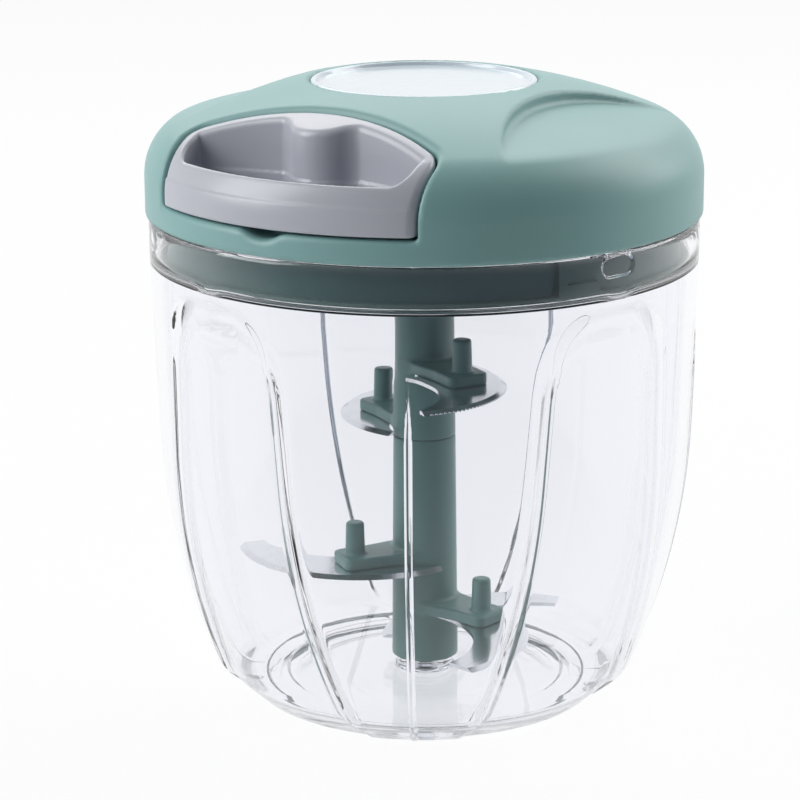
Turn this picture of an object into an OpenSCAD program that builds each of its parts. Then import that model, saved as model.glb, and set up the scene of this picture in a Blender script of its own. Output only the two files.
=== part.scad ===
// Pull-string chopper: a clear bowl with scooped panels, a domed lid that hides a
// sprung cord reel behind a D-shaped pull handle, and a stacked set of sickle blades.
// +Z is up, the foot stands on z = 0 and the handle pulls out along -Y.
// Angles round the axis are counted from the handle (-Y) towards +X.

/* [Bowl] */
// Height of the bowl from its foot to its rim
bowl_h = 107.6; // [100:0.2:120]
// Outer radius of the rim
rim_r = 59.6; // [57:0.2:64]
// Radius of the flat foot
foot_r = 39.6; // [37:0.2:42]
// Height of the chamfer above the foot
foot_h = 6; // [5:0.5:8]
// Wall of the bowl
bowl_wall = 2.2; // [1.8:0.1:2.6]
// Thickness of the bowl's floor
floor_t = 4; // [3.4:0.2:5]
// Radius of the curve that draws the wall in towards the foot
wall_curve_r = 150; // [140:2:180]
// Draft of the straight upper wall, in degrees
wall_draft = 2; // [1:0.25:3]
// Height at which the straight wall meets the curve
curve_top_z = 60; // [54:1:66]
// Inside radius of the hollow under the foot
hollow_r = 35.5; // [33:0.5:36]
// Depth of the hollow under the foot
hollow_depth = 1.2; // [0.6:0.1:1.6]

/* [Bowl panels] */
// Scooped panels round the bowl
panel_count = 4; // [3:1:5]
// Width of a panel below its rounded top corners
panel_w = 31; // [26:1:35]
// Radius of a panel's top corners
panel_corner = 10; // [6:0.5:12]
// Extra width of a panel at the foot
panel_flare = 9; // [0:0.5:10]
// Depth of the scoop
panel_depth = 1.3; // [0.8:0.1:1.6]
// Rim to the top of a panel's arch
panel_margin = 11.4; // [10:0.2:16]
// Angle from the handle to the middle of a land between panels
land_angle = 30; // [20:1:40]
// Width of the pointed rib on a land
rib_w = 1.8; // [1:0.1:3]
// Height of the rib
rib_h = 82; // [60:1:90]
// Length of the rib's point
rib_point = 10; // [4:0.5:20]
// How far the rib stands out of the land
rib_proud = 0.5; // [0.3:0.1:0.8]

/* [Rim and lock] */
// Wall of the rim band
rim_wall = 2; // [1.6:0.1:2.4]
// Rim down to the ledge that carries the seal
rim_depth = 9; // [8.6:0.2:10]
// Width of the ledge
ledge_w = 3; // [2.6:0.1:4]
// Slope under the ledge, from its edge down to the wall
ledge_taper = 0.6; // [0.4:0.1:2]
// Thickness of the silicone seal
seal_t = 1.1; // [0.8:0.1:1.6]
// Lugs of the lock
lug_count = 3; // [2:1:4]
// Width of a lug
lug_w = 8.6; // [7:0.2:12]
// Height of a lug
lug_h = 4; // [3:0.2:4.2]
// How far a lug stands in from the rim band
lug_reach = 1.25; // [1:0.05:1.3]
// Angle from the handle to a lug
lug_angle = 76; // [60:1:90]
// Thickness of the lid's lock ribs
rib_t = 2.2; // [1.6:0.1:2.4]
// Turn that locks the lid, in degrees
lock_turn = 8; // [6:1:14]

/* [Lid] */
// How far the lid's wall stands out past the rim
lid_overhang = 0.7; // [0.3:0.1:1.5]
// Height of the lid, rim to the top of its dome
lid_h = 30.5; // [29.6:0.1:33]
// Wall of the lid
lid_wall = 2.2; // [1.8:0.1:2.6]
// Radius of the rolled shoulder
shoulder_r = 13; // [11:0.5:15]
// Radius of the dome
dome_r = 140; // [130:2:160]
// Radius of the round inlay on top
disc_r = 24.4; // [20:0.2:26]
// Thickness of the inlay at its edge
disc_t = 1.7; // [1.4:0.1:2]
// Dish of the inlay
disc_dish = 0.7; // [0.3:0.1:1]
// Axis to the wall of a palm scoop
palm_near = 29.5; // [28:0.5:36]
// Radius of a palm scoop's wall
palm_r = 54.5; // [45:0.5:65]
// Drop of a palm scoop's floor below the dome's top
palm_drop = 4.1; // [3.4:0.1:4.4]
// Radius of a palm scoop's floor
palm_floor_r = 220; // [190:5:260]

/* [Handle] */
// Width of the handle
handle_w = 62; // [56:1:66]
// Depth of the handle, front to back
handle_depth = 25.9; // [24:0.1:27]
// Radius of the handle's back wall
handle_back_r = 75; // [60:1:100]
// Lid's lower edge up to the floor of the pocket
pocket_rise = 5.3; // [5:0.1:6.5]
// Gap between handle and pocket
pocket_gap = 0.5; // [0.4:0.1:0.8]
// Wall of the handle
handle_wall = 3.4; // [2.8:0.1:4]
// Floor of the handle
handle_floor = 2; // [1.6:0.1:2.6]
// How far the handle's top lies below the dome
handle_sink = 0.2; // [0.1:0.1:1.5]
// Height of the band along the handle's front
handle_band = 5.8; // [4:0.1:7]
// Step from the band in to the front above it
handle_step = 0.4; // [0.2:0.1:0.8]
// Radius of the boss that holds the cord's knot
boss_r = 8; // [7:0.5:9]
// Radius of the thumb notch under the handle
notch_r = 7.5; // [6:0.5:9]
// Depth of the thumb notch
notch_depth = 1.7; // [1.2:0.1:2.6]
// Travel of the handle
pull_travel = 300; // [200:10:310]

/* [Reel] */
// Gap between the reel and the eyelet that the cord leaves through
reel_gap = 5.7; // [4:0.1:7]
// How far the reel's flanges stand out of its drum
flange_proud = 5; // [4:0.5:6]
// Width of the drum between its flanges
drum_w = 8.6; // [8.4:0.1:9]
// Diameter of the cord
cord_d = 1.5; // [1.2:0.1:1.6]
// Turns of cord on the drum at rest
cord_turns = 3; // [3:1:3]
// Step from one turn of cord to the next
cord_step = 2.1; // [2.05:0.05:2.2]
// Turns of the return spring
spring_turns = 6; // [4:1:7]
// Thickness of the spring strip
spring_t = 0.4; // [0.3:0.05:0.6]
// Height of the spring strip
spring_h = 4.6; // [3.6:0.1:5]
// Width across the flats of the drive shaft
drive_flats = 6.6; // [6:0.1:6.8]
// Radius of the drive shaft's journal
journal_r = 4; // [4:0.1:4.6]

/* [Blades] */
// Radius of the hub at its foot
hub_foot_r = 7.4; // [7:0.1:8]
// Radius of the hub at its top
hub_top_r = 6.4; // [6.2:0.1:7]
// Height of the joint between lower and upper hub
hub_split_z = 57.2; // [54:0.2:58]
// Length of a blade arm
arm_l = 20.5; // [20:0.5:23]
// Thickness of a blade arm
arm_t = 2.5; // [2:0.1:3.2]
// Axis to the peg on an arm
peg_at = 16.8; // [15.5:0.1:17]
// Radius of a peg
peg_r = 2.2; // [1.8:0.1:2.6]
// Height of a peg above its arm
peg_h = 7.1; // [5:0.1:9]
// Thickness of the blades
blade_t = 0.8; // [0.6:0.1:1.2]
// Gap between the lowest blade's tip and the bowl
tip_gap = 0.7; // [0.5:0.1:3]
// Angle from the handle to the front upper arm
upper_front_deg = 62; // [40:1:80]
// Height of the front upper arm
upper_front_z = 75; // [72:0.5:80]
// Angle from the handle to the rear upper arm
upper_rear_deg = -113; // [-130:1:-100]
// Height of the rear upper arm
upper_rear_z = 61.3; // [60.5:0.1:66]
// Angle from the handle to the highest lower arm
lower_high_deg = -33; // [-60:1:-20]
// Height of the highest lower arm
lower_high_z = 31.5; // [28:0.5:40]
// Angle from the handle to the middle lower arm
lower_mid_deg = 81; // [60:1:100]
// Height of the middle lower arm
lower_mid_z = 20; // [18:0.5:24]
// Angle from the handle to the lowest arm
lower_low_deg = 200; // [180:1:220]
// Height of the lowest arm
lower_low_z = 12; // [11:0.5:14]
// Reach of an upper blade along its arm
upper_reach = 34.5; // [31:0.5:38]
// Radius of an upper blade's edge
upper_r = 25; // [23:0.5:27]
// Radius of the hollow side of an upper blade
upper_hollow_r = 18; // [16:0.5:19]
// Arm's line to the tip of an upper blade
upper_tip = 18.6; // [16:0.2:20]
// Radius of a lower blade's edge
lower_r = 28.5; // [27:0.5:30]
// Radius of the hollow side of a lower blade
lower_hollow_r = 21.5; // [20:0.5:23]
// Arm's line to the tip of a lower blade
lower_tip = 24.5; // [22:0.5:26]
// Teeth along an upper blade
tooth_count = 30; // [16:1:34]
// Radius of a notch between teeth
tooth_r = 0.4; // [0.3:0.05:0.5]

/* [Fits] */
// Radial clearance of a part that turns
run_gap = 0.05; // [0.03:0.01:0.08]
// Radial clearance of a part pressed or screwed home
seat_gap = 0.02; // [0.01:0.01:0.04]
// Clearance between parts that pass each other
pass_gap = 0.3; // [0.25:0.05:0.4]

/* [Hidden] */
$fn = 128;

// Colours of the real pieces
sage = "#8fb0ab";
deep_green = "#5f8480";
lilac_grey = "#a8a6ae";
clear_tint = [0.9, 0.93, 0.98, 0.35];
steel = "#c9ccd0";
ice = "#e9f3fb";
nylon = "#e8e6df";
cord_white = "#dcdcd8";

// Bowl: the wall is a drafted cone above curve_top_z and one arc below it
over = 1;
rim_band = 9.6;
straight_top_z = bowl_h - rim_band;
curve_top_r = rim_r - tan(wall_draft) * (straight_top_z - curve_top_z);
curve_x = curve_top_r - wall_curve_r * cos(wall_draft);
curve_z = curve_top_z + wall_curve_r * sin(wall_draft);
foot_top_r = curve_x + sqrt(pow(wall_curve_r, 2) - pow(curve_z - foot_h, 2));
panel_pitch = 360 / panel_count;
panel_half = panel_w / 2;
panel_side = panel_half - panel_corner;
panel_top_z = bowl_h - panel_margin;
panel_corner_z = panel_top_z - panel_corner;
panel_start = foot_r - 8;
hollow_step = 4.7;
boss_top_z = floor_t + 2;
pin_r = 2;
pin_z = floor_t - 1.8;
pin_bevel = 1;
pin_top_z = boss_top_z + 10;
pin_boss_r = 6;

// Radius of the bowl's land at a height on the curved part of the wall
function land_r(z) = curve_x + sqrt(pow(wall_curve_r, 2) - pow(curve_z - z, 2));

// Rim, seal and lock
ledge_z = bowl_h - rim_depth;
rim_in_r = rim_r - rim_wall;
ledge_r = rim_in_r - ledge_w;
ledge_t = 1;
lug_r = rim_in_r - lug_reach;
skirt_r = lug_r - pass_gap;
skirt_t = 2.2;
skirt_z = ledge_z + seal_t;
rib_r = rim_in_r - pass_gap;
lug_z = skirt_z + rib_t + pass_gap + lug_h / 2;
lug_half_deg = asin(lug_w / 2 / rim_in_r);
lock_lead = 0.6;
lock_rib_start = lug_angle - lug_half_deg - lock_lead;
lock_stop_w = 2;
stop_half_deg = asin(lock_stop_w / 2 / rim_in_r);
lock_rib_deg = lock_turn + 2 * stop_half_deg;

// Lid
lid_z = bowl_h + pass_gap;
lid_r = rim_r + lid_overhang;
lid_in_r = lid_r - lid_wall;
dome_top_z = lid_z + lid_h;
dome_z = dome_top_z - dome_r;
shoulder_x = lid_r - shoulder_r;
shoulder_z = dome_z + sqrt(pow(dome_r - shoulder_r, 2) - pow(shoulder_x, 2));
palm_z = dome_top_z - palm_drop - palm_floor_r;
ceiling_r = palm_floor_r - lid_wall;
disc_gap = 0.1;
disc_set = 0.15;
disc_edge_z = dome_z + sqrt(pow(dome_r, 2) - pow(disc_r, 2)) - disc_set;
disc_z = disc_edge_z - disc_t;
dish_r = disc_r - 1;
dish_steps = 8;
pocket_z = lid_z + pocket_rise;
tray_wall = 2.2;
tray_floor = 3.6;
plate_t = 1.4;
plate_top_z = lid_z + plate_t;

// Handle
handle_z = pocket_z + pocket_gap;
handle_back_y = -(lid_r - handle_depth);
boss_y = handle_back_y - 1;
corner_r = 3;
corner_fn = 32;
finger_r = 2.5;

// Cord's way out of the pocket, and the reel that the space behind it leaves room for
tray_back_y = handle_back_y + pocket_gap;
eyelet_y = tray_back_y + tray_wall;
eyelet_r = 2.6;
eyelet_bore = 1.2;
eyelet_flange_r = 3.6;
eyelet_flange_t = 1;
flange_r = -eyelet_y - eyelet_flange_t - reel_gap;
drum_r = flange_r - flange_proud;

// Reel, stacked upward from the plate
bush_r = 6;
bush_flange_r = 8.5;
bush_flange_t = 0.8;
washer_t = 0.5;
spool_z = plate_top_z + bush_flange_t + washer_t + run_gap;
spool_flange_t = 1.4;
drum_z = spool_z + spool_flange_t;
spool_top_z = drum_z + drum_w + spool_flange_t;
hub_r = 8;
spigot_r = 6.2;
drum_wall = 2;
case_gap = 0.6;
case_z = spool_top_z + case_gap;
case_set = 4.8;
case_r = flange_r - case_set;
case_wall = 1.5;
case_roof = 1.3;
spring_gap = 0.7;
spring_z = case_z + spring_gap;
case_top_z = spring_z + spring_h + 0.8 + case_roof;
case_head_r = 2.1;
ear_gap = 1.4;
ear_at = flange_r + case_head_r + ear_gap;
ear_r = 3.2;
ear_t = 1.5;
ear_angles = [60, 180, 300];
axle_r = 2;
axle_boss_r = 5;
axle_z = spool_z + 6.6;
axle_top_z = disc_z - 0.6;
drive_socket = 5.4;
drive_l = 14;
drive_play = 0.2;
plate_boss_r = 9.5;
plate_boss_z = skirt_z + 0.6;
screw_at = 45;
screw_angles = [60, 120, 240, 300];
screw_r = 1.4;
screw_head_r = 3;
screw_head_t = 1.6;
post_r = 3.6;
screw_l = 11;
case_screw_l = 5;

// Cord: wound on the drum, out along the tangent, then straight through the eyelet
cord_sides = 8;
wind_sides = 6;
wind_rings = 24;
wind_r = (drum_r + run_gap) / cos(180 / wind_rings) + cord_d / 2;
wind_gap = 0.1;
wind_z0 = drum_z + cord_d / 2 + wind_gap;
cord_z = wind_z0 + cord_turns * cord_step;
bend_gap = 1.1;
bend_y = eyelet_y + eyelet_flange_t + bend_gap;
tangent_deg = acos(wind_r / -bend_y);
tangent_point = [-wind_r * sin(tangent_deg), -wind_r * cos(tangent_deg), cord_z];
knot_r = 2.2;
knot_bore = knot_r + 0.6;
knot_set = 3.6;
knot_y = boss_y - knot_set;
cord_bore = 1.1;

// Blade set
hub_z = boss_top_z + pass_gap;
hub_top_z = skirt_z - 0.2;
hub_split_r = hub_foot_r + (hub_top_r - hub_foot_r) * (hub_split_z - hub_z) / (hub_top_z - hub_z);
spigot_flats = 7.4;
spigot_l = 8;
arm_root_w = 13;
arm_end_w = 9.4;
arm_corner = 1.5;
stake_r = 1.6;
stake_h = 1.5;
edge_bevel = 1.2;

// Each arm: angle from the handle, height of the arm's top
upper_front = [upper_front_deg, upper_front_z];
upper_rear = [upper_rear_deg, upper_rear_z];
lower_high = [lower_high_deg, lower_high_z];
lower_mid = [lower_mid_deg, lower_mid_z];
lower_low = [lower_low_deg, lower_low_z];
arm_shank = 8;
peg_draft = 0.2;
hub_clear = 0.45;
heel = 11.6;
heel_gap = 2;
upper_edge_back = 13.5;
upper_hollow_shift = [5.5, -11.5];
lower_edge_back = 17.5;
lower_hollow_shift = [0, -7.5];
lower_tip_r = land_r(lower_low_z - arm_t - blade_t) - bowl_wall - panel_depth - tip_gap;

// Shapes used by several pieces

// Turns a shape that lies along +X to an angle counted from the handle
module at_angle(a) {
    rotate([0, 0, a - 90]) children();
}

// Half section of the bowl's outer form, moved in towards the axis
module bowl_half(inset) {
    intersection() {
        translate([-inset, 0]) {
            polygon([[0, 0], [foot_r, 0], [foot_top_r, foot_h], [0, foot_h]]);
            intersection() {
                translate([curve_x, curve_z]) circle(r = wall_curve_r, $fn = 360);
                translate([0, foot_h]) square([rim_r, curve_top_z - foot_h]);
            }
            polygon([[0, curve_top_z], [curve_top_r, curve_top_z], [rim_r, straight_top_z],
                     [rim_r, bowl_h], [0, bowl_h]]);
        }
        square([rim_r + over, bowl_h]);
    }
}

module bowl_form(inset, bottom) {
    rotate_extrude() intersection() {
        bowl_half(inset);
        translate([0, bottom]) square([rim_r + over, bowl_h]);
    }
}

// Round-cornered outline of a panel, pushed outward from the axis at each panel's angle
module panel_arches(grow) {
    for (i = [0 : panel_count - 1])
        at_angle(land_angle + panel_pitch * (i + 0.5))
            rotate([90, 0, 90]) translate([0, 0, panel_start]) linear_extrude(rim_r) {
                for (s = [-1, 1]) translate([s * panel_side, panel_corner_z]) circle(r = panel_corner + grow);
                translate([-panel_side, panel_corner_z]) square([2 * panel_side, panel_corner + grow]);
                polygon([[-panel_half - grow, panel_corner_z], [panel_half + grow, panel_corner_z],
                         [panel_half + panel_flare / 2 + grow, -over],
                         [-panel_half - panel_flare / 2 - grow, -over]]);
            }
}

// Half section of the lid's outer form, or of its hollow, set in by a wall
module lid_half(inset) {
    tangent_x = shoulder_x * (dome_r - inset) / (dome_r - shoulder_r);
    translate([0, lid_z]) square([lid_r - inset, shoulder_z - lid_z]);
    intersection() {
        translate([shoulder_x, shoulder_z]) circle(r = shoulder_r - inset);
        translate([tangent_x, shoulder_z]) square([lid_r, shoulder_r]);
    }
    intersection() {
        translate([0, dome_z]) circle(r = dome_r - inset, $fn = 360);
        translate([0, shoulder_z]) square([tangent_x, lid_h]);
    }
}

// Plan of the pull handle: its front follows the lid's wall, its back is one arc
module handle_plan(inset = 0) {
    intersection() {
        circle(r = lid_r - inset, $fn = 256);
        translate([0, handle_back_y - handle_back_r]) circle(r = handle_back_r - inset, $fn = 180);
        translate([-handle_w / 2 + inset, -lid_r]) square([handle_w - 2 * inset, lid_r]);
    }
}

module rounded(r) {
    offset(r = r, $fn = corner_fn) offset(delta = -r) children();
}

// Space that the handle slides through, open to the front
module pocket_plan(grow) {
    offset(r = grow, $fn = corner_fn) rounded(corner_r) handle_plan();
    translate([-handle_w / 2 - grow, -lid_r - over])
        square([handle_w + 2 * grow, lid_r + over + handle_back_y - handle_depth / 2]);
}

// Tube through a list of points, one polyhedron with flat ends
function unit(v) = v / norm(v);
function along(p, i) = unit(p[min(i + 1, len(p) - 1)] - p[max(i - 1, 0)]);
function ring(p, i, r, n) =
    let (d = along(p, i), side = unit(cross([0, 0, 1], d)), up = cross(d, side))
    [for (k = [0 : n - 1]) p[i] + r * (cos(360 * k / n) * side + sin(360 * k / n) * up)];

module tube(path, r, n) {
    rings = len(path);
    points = [for (i = [0 : rings - 1]) each ring(path, i, r, n)];
    sides = [for (i = [0 : rings - 2], k = [0 : n - 1])
             let (a = i * n + k, b = i * n + (k + 1) % n) each [[a, a + n, b], [b, a + n, b + n]]];
    first = [for (k = [1 : n - 2]) [0, k, k + 1]];
    last = [for (k = [1 : n - 2]) let (e = (rings - 1) * n) [e, e + k + 1, e + k]];
    polyhedron(points, concat(sides, first, last));
}

module hexagon(flats, h) {
    cylinder(h = h, r = flats / 2 / cos(30), $fn = 6);
}

// Bowl

module bowl() color(clear_tint) {
    difference() {
        union() {
            difference() {
                bowl_form(0, 0);
                difference() {
                    panel_arches(0);
                    bowl_form(panel_depth, -over);
                }
            }
            land_ribs();
        }
        difference() {
            bowl_form(bowl_wall, floor_t);
            difference() {
                panel_arches(panel_depth);
                bowl_form(bowl_wall + panel_depth, floor_t);
            }
            translate([0, 0, floor_t]) cylinder(h = boss_top_z - floor_t, r = pin_boss_r);
            ledge_ring();
        }
        translate([0, 0, ledge_z]) cylinder(h = rim_depth + over, r = rim_in_r);
        translate([0, 0, -over]) cylinder(h = hollow_depth + over, r = hollow_r);
        translate([0, 0, -over]) cylinder(h = hollow_depth + over + 0.6, r = hollow_r - hollow_step);
        translate([0, 0, pin_z]) cylinder(h = boss_top_z, r = pin_r + seat_gap);
    }
    lock_lugs();
}

// Pointed ribs up the middle of the lands
module land_ribs() {
    intersection() {
        bowl_form(-rib_proud, 0);
        for (i = [0 : panel_count - 1])
            at_angle(land_angle + panel_pitch * i) rotate([90, 0, 90])
                translate([0, 0, panel_start]) linear_extrude(rim_r)
                    polygon([[-rib_w / 2, 0], [rib_w / 2, 0], [rib_w / 2, rib_h - rib_point],
                             [0, rib_h], [-rib_w / 2, rib_h - rib_point]]);
    }
}

module ledge_ring() {
    rotate_extrude() polygon([
        [ledge_r, ledge_z], [rim_r, ledge_z], [rim_r, ledge_z - ledge_t - ledge_taper],
        [rim_in_r, ledge_z - ledge_t - ledge_taper], [ledge_r, ledge_z - ledge_t]]);
}

module lock_lugs() {
    intersection() {
        rotate_extrude() translate([lug_r, ledge_z]) square([rim_in_r - lug_r + rim_wall / 2, rim_depth]);
        for (i = [0 : lug_count - 1]) at_angle(lug_angle + i * 360 / lug_count)
            translate([rim_r / 2, 0, lug_z]) rotate([90, 0, 90]) linear_extrude(rim_r) {
                square([lug_w - lug_h, lug_h], center = true);
                for (s = [-1, 1]) translate([s * (lug_w - lug_h) / 2, 0]) circle(d = lug_h);
            }
    }
}

module spindle_pin() color(steel) rotate_extrude() polygon([
    [0, pin_z], [pin_r, pin_z], [pin_r, pin_top_z - pin_bevel], [pin_r - pin_bevel, pin_top_z],
    [0, pin_top_z]]);

module seal_ring() color(nylon) rotate_extrude()
    translate([ledge_r + pass_gap, ledge_z]) square([rim_in_r - ledge_r - 2 * pass_gap, seal_t]);

// Lid

module lid_shell() color(sage) difference() {
    union() {
        difference() {
            rotate_extrude() lid_half(0);
            rotate_extrude() lid_hollow();
        }
        intersection() {
            rotate_extrude() lid_half(0);
            union() {
                pocket_tray();
                lid_posts();
            }
        }
    }
    palm_scoops();
    translate([0, 0, disc_z]) cylinder(h = lid_h, r = disc_r + disc_gap);
    translate([0, 0, pocket_z]) linear_extrude(lid_h) pocket_plan(pocket_gap);
    thumb_notch();
    translate([0, eyelet_y + over, cord_z]) rotate([90, 0, 0])
        cylinder(h = tray_wall + 2 * over, r = eyelet_r + seat_gap);
    for (a = screw_angles) at_angle(a) translate([screw_at, 0, lid_z])
        cylinder(h = plate_t + screw_l, r = screw_r + seat_gap);
    for (a = ear_angles) at_angle(a) translate([ear_at, 0, case_z + ear_t - over])
        cylinder(h = case_screw_l + over, r = screw_r + seat_gap);
    translate([0, 0, case_top_z - over]) cylinder(h = axle_top_z - case_top_z + over, r = axle_r + seat_gap);
}

module lid_hollow() {
    intersection() {
        union() {
            lid_half(lid_wall);
            translate([0, lid_z - over]) square([lid_in_r, 2 * over]);
        }
        translate([0, palm_z]) circle(r = ceiling_r, $fn = 360);
        square([lid_in_r + over, dome_top_z]);
    }
}

// Walls and floor round the pocket, closing it off from the reel
module pocket_tray() {
    translate([0, 0, pocket_z - tray_floor]) linear_extrude(lid_h) pocket_plan(pocket_gap + tray_wall);
}

module lid_posts() {
    for (a = screw_angles) at_angle(a) translate([screw_at, 0, plate_top_z]) cylinder(h = lid_h, r = post_r);
    for (a = ear_angles) at_angle(a) translate([ear_at, 0, case_z + ear_t]) cylinder(h = lid_h, r = ear_r);
    translate([0, 0, case_top_z]) cylinder(h = lid_h, r = axle_boss_r);
}

// Two scoops beside the dome, where the palms press the lid down
module palm_scoops() {
    for (s = [-1, 1]) difference() {
        translate([s * (palm_near + palm_r), 0, shoulder_z]) cylinder(h = lid_h, r = palm_r, $fn = 180);
        translate([0, 0, palm_z]) sphere(r = palm_floor_r, $fn = 360);
    }
}

module thumb_notch() {
    translate([0, -lid_r - over, pocket_z + notch_r - notch_depth]) rotate([-90, 0, 0])
        cylinder(h = 8, r = notch_r);
}

// Inlay with a flat edge and a shallow dish that follows a parabola
module top_disc() color(ice) {
    dish = [for (i = [dish_steps : -1 : 0])
            [dish_r * i / dish_steps, disc_edge_z - disc_dish * (1 - pow(i / dish_steps, 2))]];
    rotate_extrude() polygon(concat([[0, disc_z], [disc_r, disc_z], [disc_r, disc_edge_z]], dish));
}

// Plate that closes the lid from below, with the skirt that plugs into the rim
module base_plate() color(deep_green) {
    difference() {
        union() {
            translate([0, 0, lid_z]) cylinder(h = plate_t, r = lid_in_r - 0.1);
            translate([0, 0, skirt_z]) difference() {
                cylinder(h = lid_z - skirt_z + plate_t / 2, r = skirt_r);
                translate([0, 0, -over]) cylinder(h = lid_z - skirt_z + over, r = skirt_r - skirt_t);
            }
            translate([0, 0, plate_boss_z])
                cylinder(h = lid_z - plate_boss_z + plate_t / 2, r = plate_boss_r);
        }
        translate([0, 0, skirt_z]) cylinder(h = lid_z, r = bush_r + seat_gap);
        for (a = screw_angles) at_angle(a) translate([screw_at, 0, skirt_z])
            cylinder(h = lid_z, r = screw_r + pass_gap);
    }
    lock_ribs();
}

// L-shaped ribs on the skirt: the foot of the L slides under a lug, its upright stops the turn
module lock_ribs() {
    for (i = [0 : lug_count - 1]) {
        start = lock_rib_start + i * 360 / lug_count;
        at_angle(start - lock_rib_deg) rotate_extrude(angle = lock_rib_deg)
            translate([skirt_r - skirt_t / 2, skirt_z]) square([rib_r - skirt_r + skirt_t / 2, rib_t]);
        at_angle(start - lock_rib_deg) rotate_extrude(angle = 2 * stop_half_deg)
            translate([skirt_r - skirt_t / 2, skirt_z])
                square([rib_r - skirt_r + skirt_t / 2, lug_z + lug_h / 2 - skirt_z]);
    }
}

// Pan-head screw that points up, its head's seat at z = 0
module screw(length, head_r) {
    difference() {
        translate([0, 0, -screw_head_t]) cylinder(h = screw_head_t, r = head_r);
        translate([0, 0, -screw_head_t - over]) for (a = [0, 90]) rotate([0, 0, a])
            translate([-head_r * 0.6, -0.35, 0]) cube([head_r * 1.2, 0.7, screw_head_t * 0.5 + over]);
    }
    translate([0, 0, -0.2]) cylinder(h = length - 0.8, r = screw_r);
    translate([0, 0, length - 1]) cylinder(h = 1, r1 = screw_r, r2 = 0.5);
}

module plate_screws() color(steel) for (a = screw_angles)
    at_angle(a) translate([screw_at, 0, lid_z]) screw(plate_t + screw_l - 1, screw_head_r);

module case_screws() color(steel) for (a = ear_angles)
    at_angle(a) translate([ear_at, 0, case_z]) screw(ear_t + case_screw_l - 1, case_head_r);

// Reel

module drive_bush() color(nylon) rotate_extrude() polygon([
    [journal_r + run_gap, plate_boss_z], [bush_r, plate_boss_z], [bush_r, plate_top_z],
    [bush_flange_r, plate_top_z], [bush_flange_r, plate_top_z + bush_flange_t],
    [journal_r + run_gap, plate_top_z + bush_flange_t]]);

module thrust_washer() color(steel) translate([0, 0, plate_top_z + bush_flange_t]) difference() {
    cylinder(h = washer_t, r = bush_flange_r - 0.5);
    translate([0, 0, -over]) cylinder(h = washer_t + 2 * over, r = journal_r + pass_gap);
}

// Cup that holds the spring still, hung from the lid on three ears
module spring_case() color(nylon) difference() {
    union() {
        translate([0, 0, case_z]) cylinder(h = case_top_z - case_z, r = case_r + case_wall);
        for (a = ear_angles) at_angle(a) translate([0, 0, case_z]) linear_extrude(ear_t) {
            translate([ear_at, 0]) circle(r = ear_r);
            translate([case_r, -ear_r]) square([ear_at - case_r, 2 * ear_r]);
        }
    }
    translate([0, 0, case_z - over]) cylinder(h = case_top_z - case_z - case_roof + over, r = case_r);
    translate([0, 0, case_z]) cylinder(h = lid_h, r = axle_r + pass_gap);
    for (a = ear_angles) at_angle(a) translate([ear_at, 0, case_z - over])
        cylinder(h = ear_t + 2 * over, r = screw_r + pass_gap);
}

// Flat strip wound from the spool's spigot out to the case
spring_in_r = spigot_r + spring_t / 2 + 0.1;
spring_out_r = case_r - spring_t / 2 - 0.1;
spring_steps = spring_turns * 20;
function strip_r(i, side) =
    spring_in_r + (spring_out_r - spring_in_r) * i / spring_steps + side * spring_t / 2;
function strip_deg(i) = 360 * spring_turns * i / spring_steps;
function strip(i, side) = strip_r(i, side) * [cos(strip_deg(i)), sin(strip_deg(i))];

module return_spring() color(steel) {
    outside = [for (i = [0 : spring_steps]) strip(i, 1)];
    inside = [for (i = [spring_steps : -1 : 0]) strip(i, -1)];
    translate([0, 0, spring_z]) linear_extrude(spring_h) polygon(concat(outside, inside));
}

module axle_pin() color(steel) translate([0, 0, axle_z])
    cylinder(h = axle_top_z - axle_z, r = axle_r);

module spool() color(nylon) difference() {
    union() {
        translate([0, 0, spool_z]) cylinder(h = spool_flange_t, r = flange_r);
        translate([0, 0, spool_z]) cylinder(h = spool_top_z - spool_z, r = drum_r);
        translate([0, 0, spool_top_z - spool_flange_t]) cylinder(h = spool_flange_t, r = flange_r);
        translate([0, 0, spool_z]) cylinder(h = spring_z + spring_h + 0.5 - spool_z, r = spigot_r);
    }
    translate([0, 0, drum_z]) difference() {
        cylinder(h = lid_h, r = drum_r - drum_wall);
        translate([0, 0, -over]) cylinder(h = spool_top_z - drum_z + over, r = hub_r);
        translate([0, 0, -over]) cylinder(h = lid_h + 2 * over, r = spigot_r);
    }
    translate([0, 0, spool_z - over]) hexagon(drive_flats + 2 * run_gap, drive_socket + over);
    translate([0, 0, axle_z - 0.4]) cylinder(h = lid_h, r = axle_r + run_gap);
}

// Shaft that carries the reel's turn down to the blade set
module drive_shaft() color(steel) {
    drive_top_z = spool_z + drive_socket - drive_play;
    translate([0, 0, hub_top_z - drive_l]) hexagon(drive_flats, drive_top_z - hub_top_z + drive_l);
    translate([0, 0, plate_boss_z]) cylinder(h = spool_z - plate_boss_z - run_gap, r = journal_r);
}

// Cord

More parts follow.
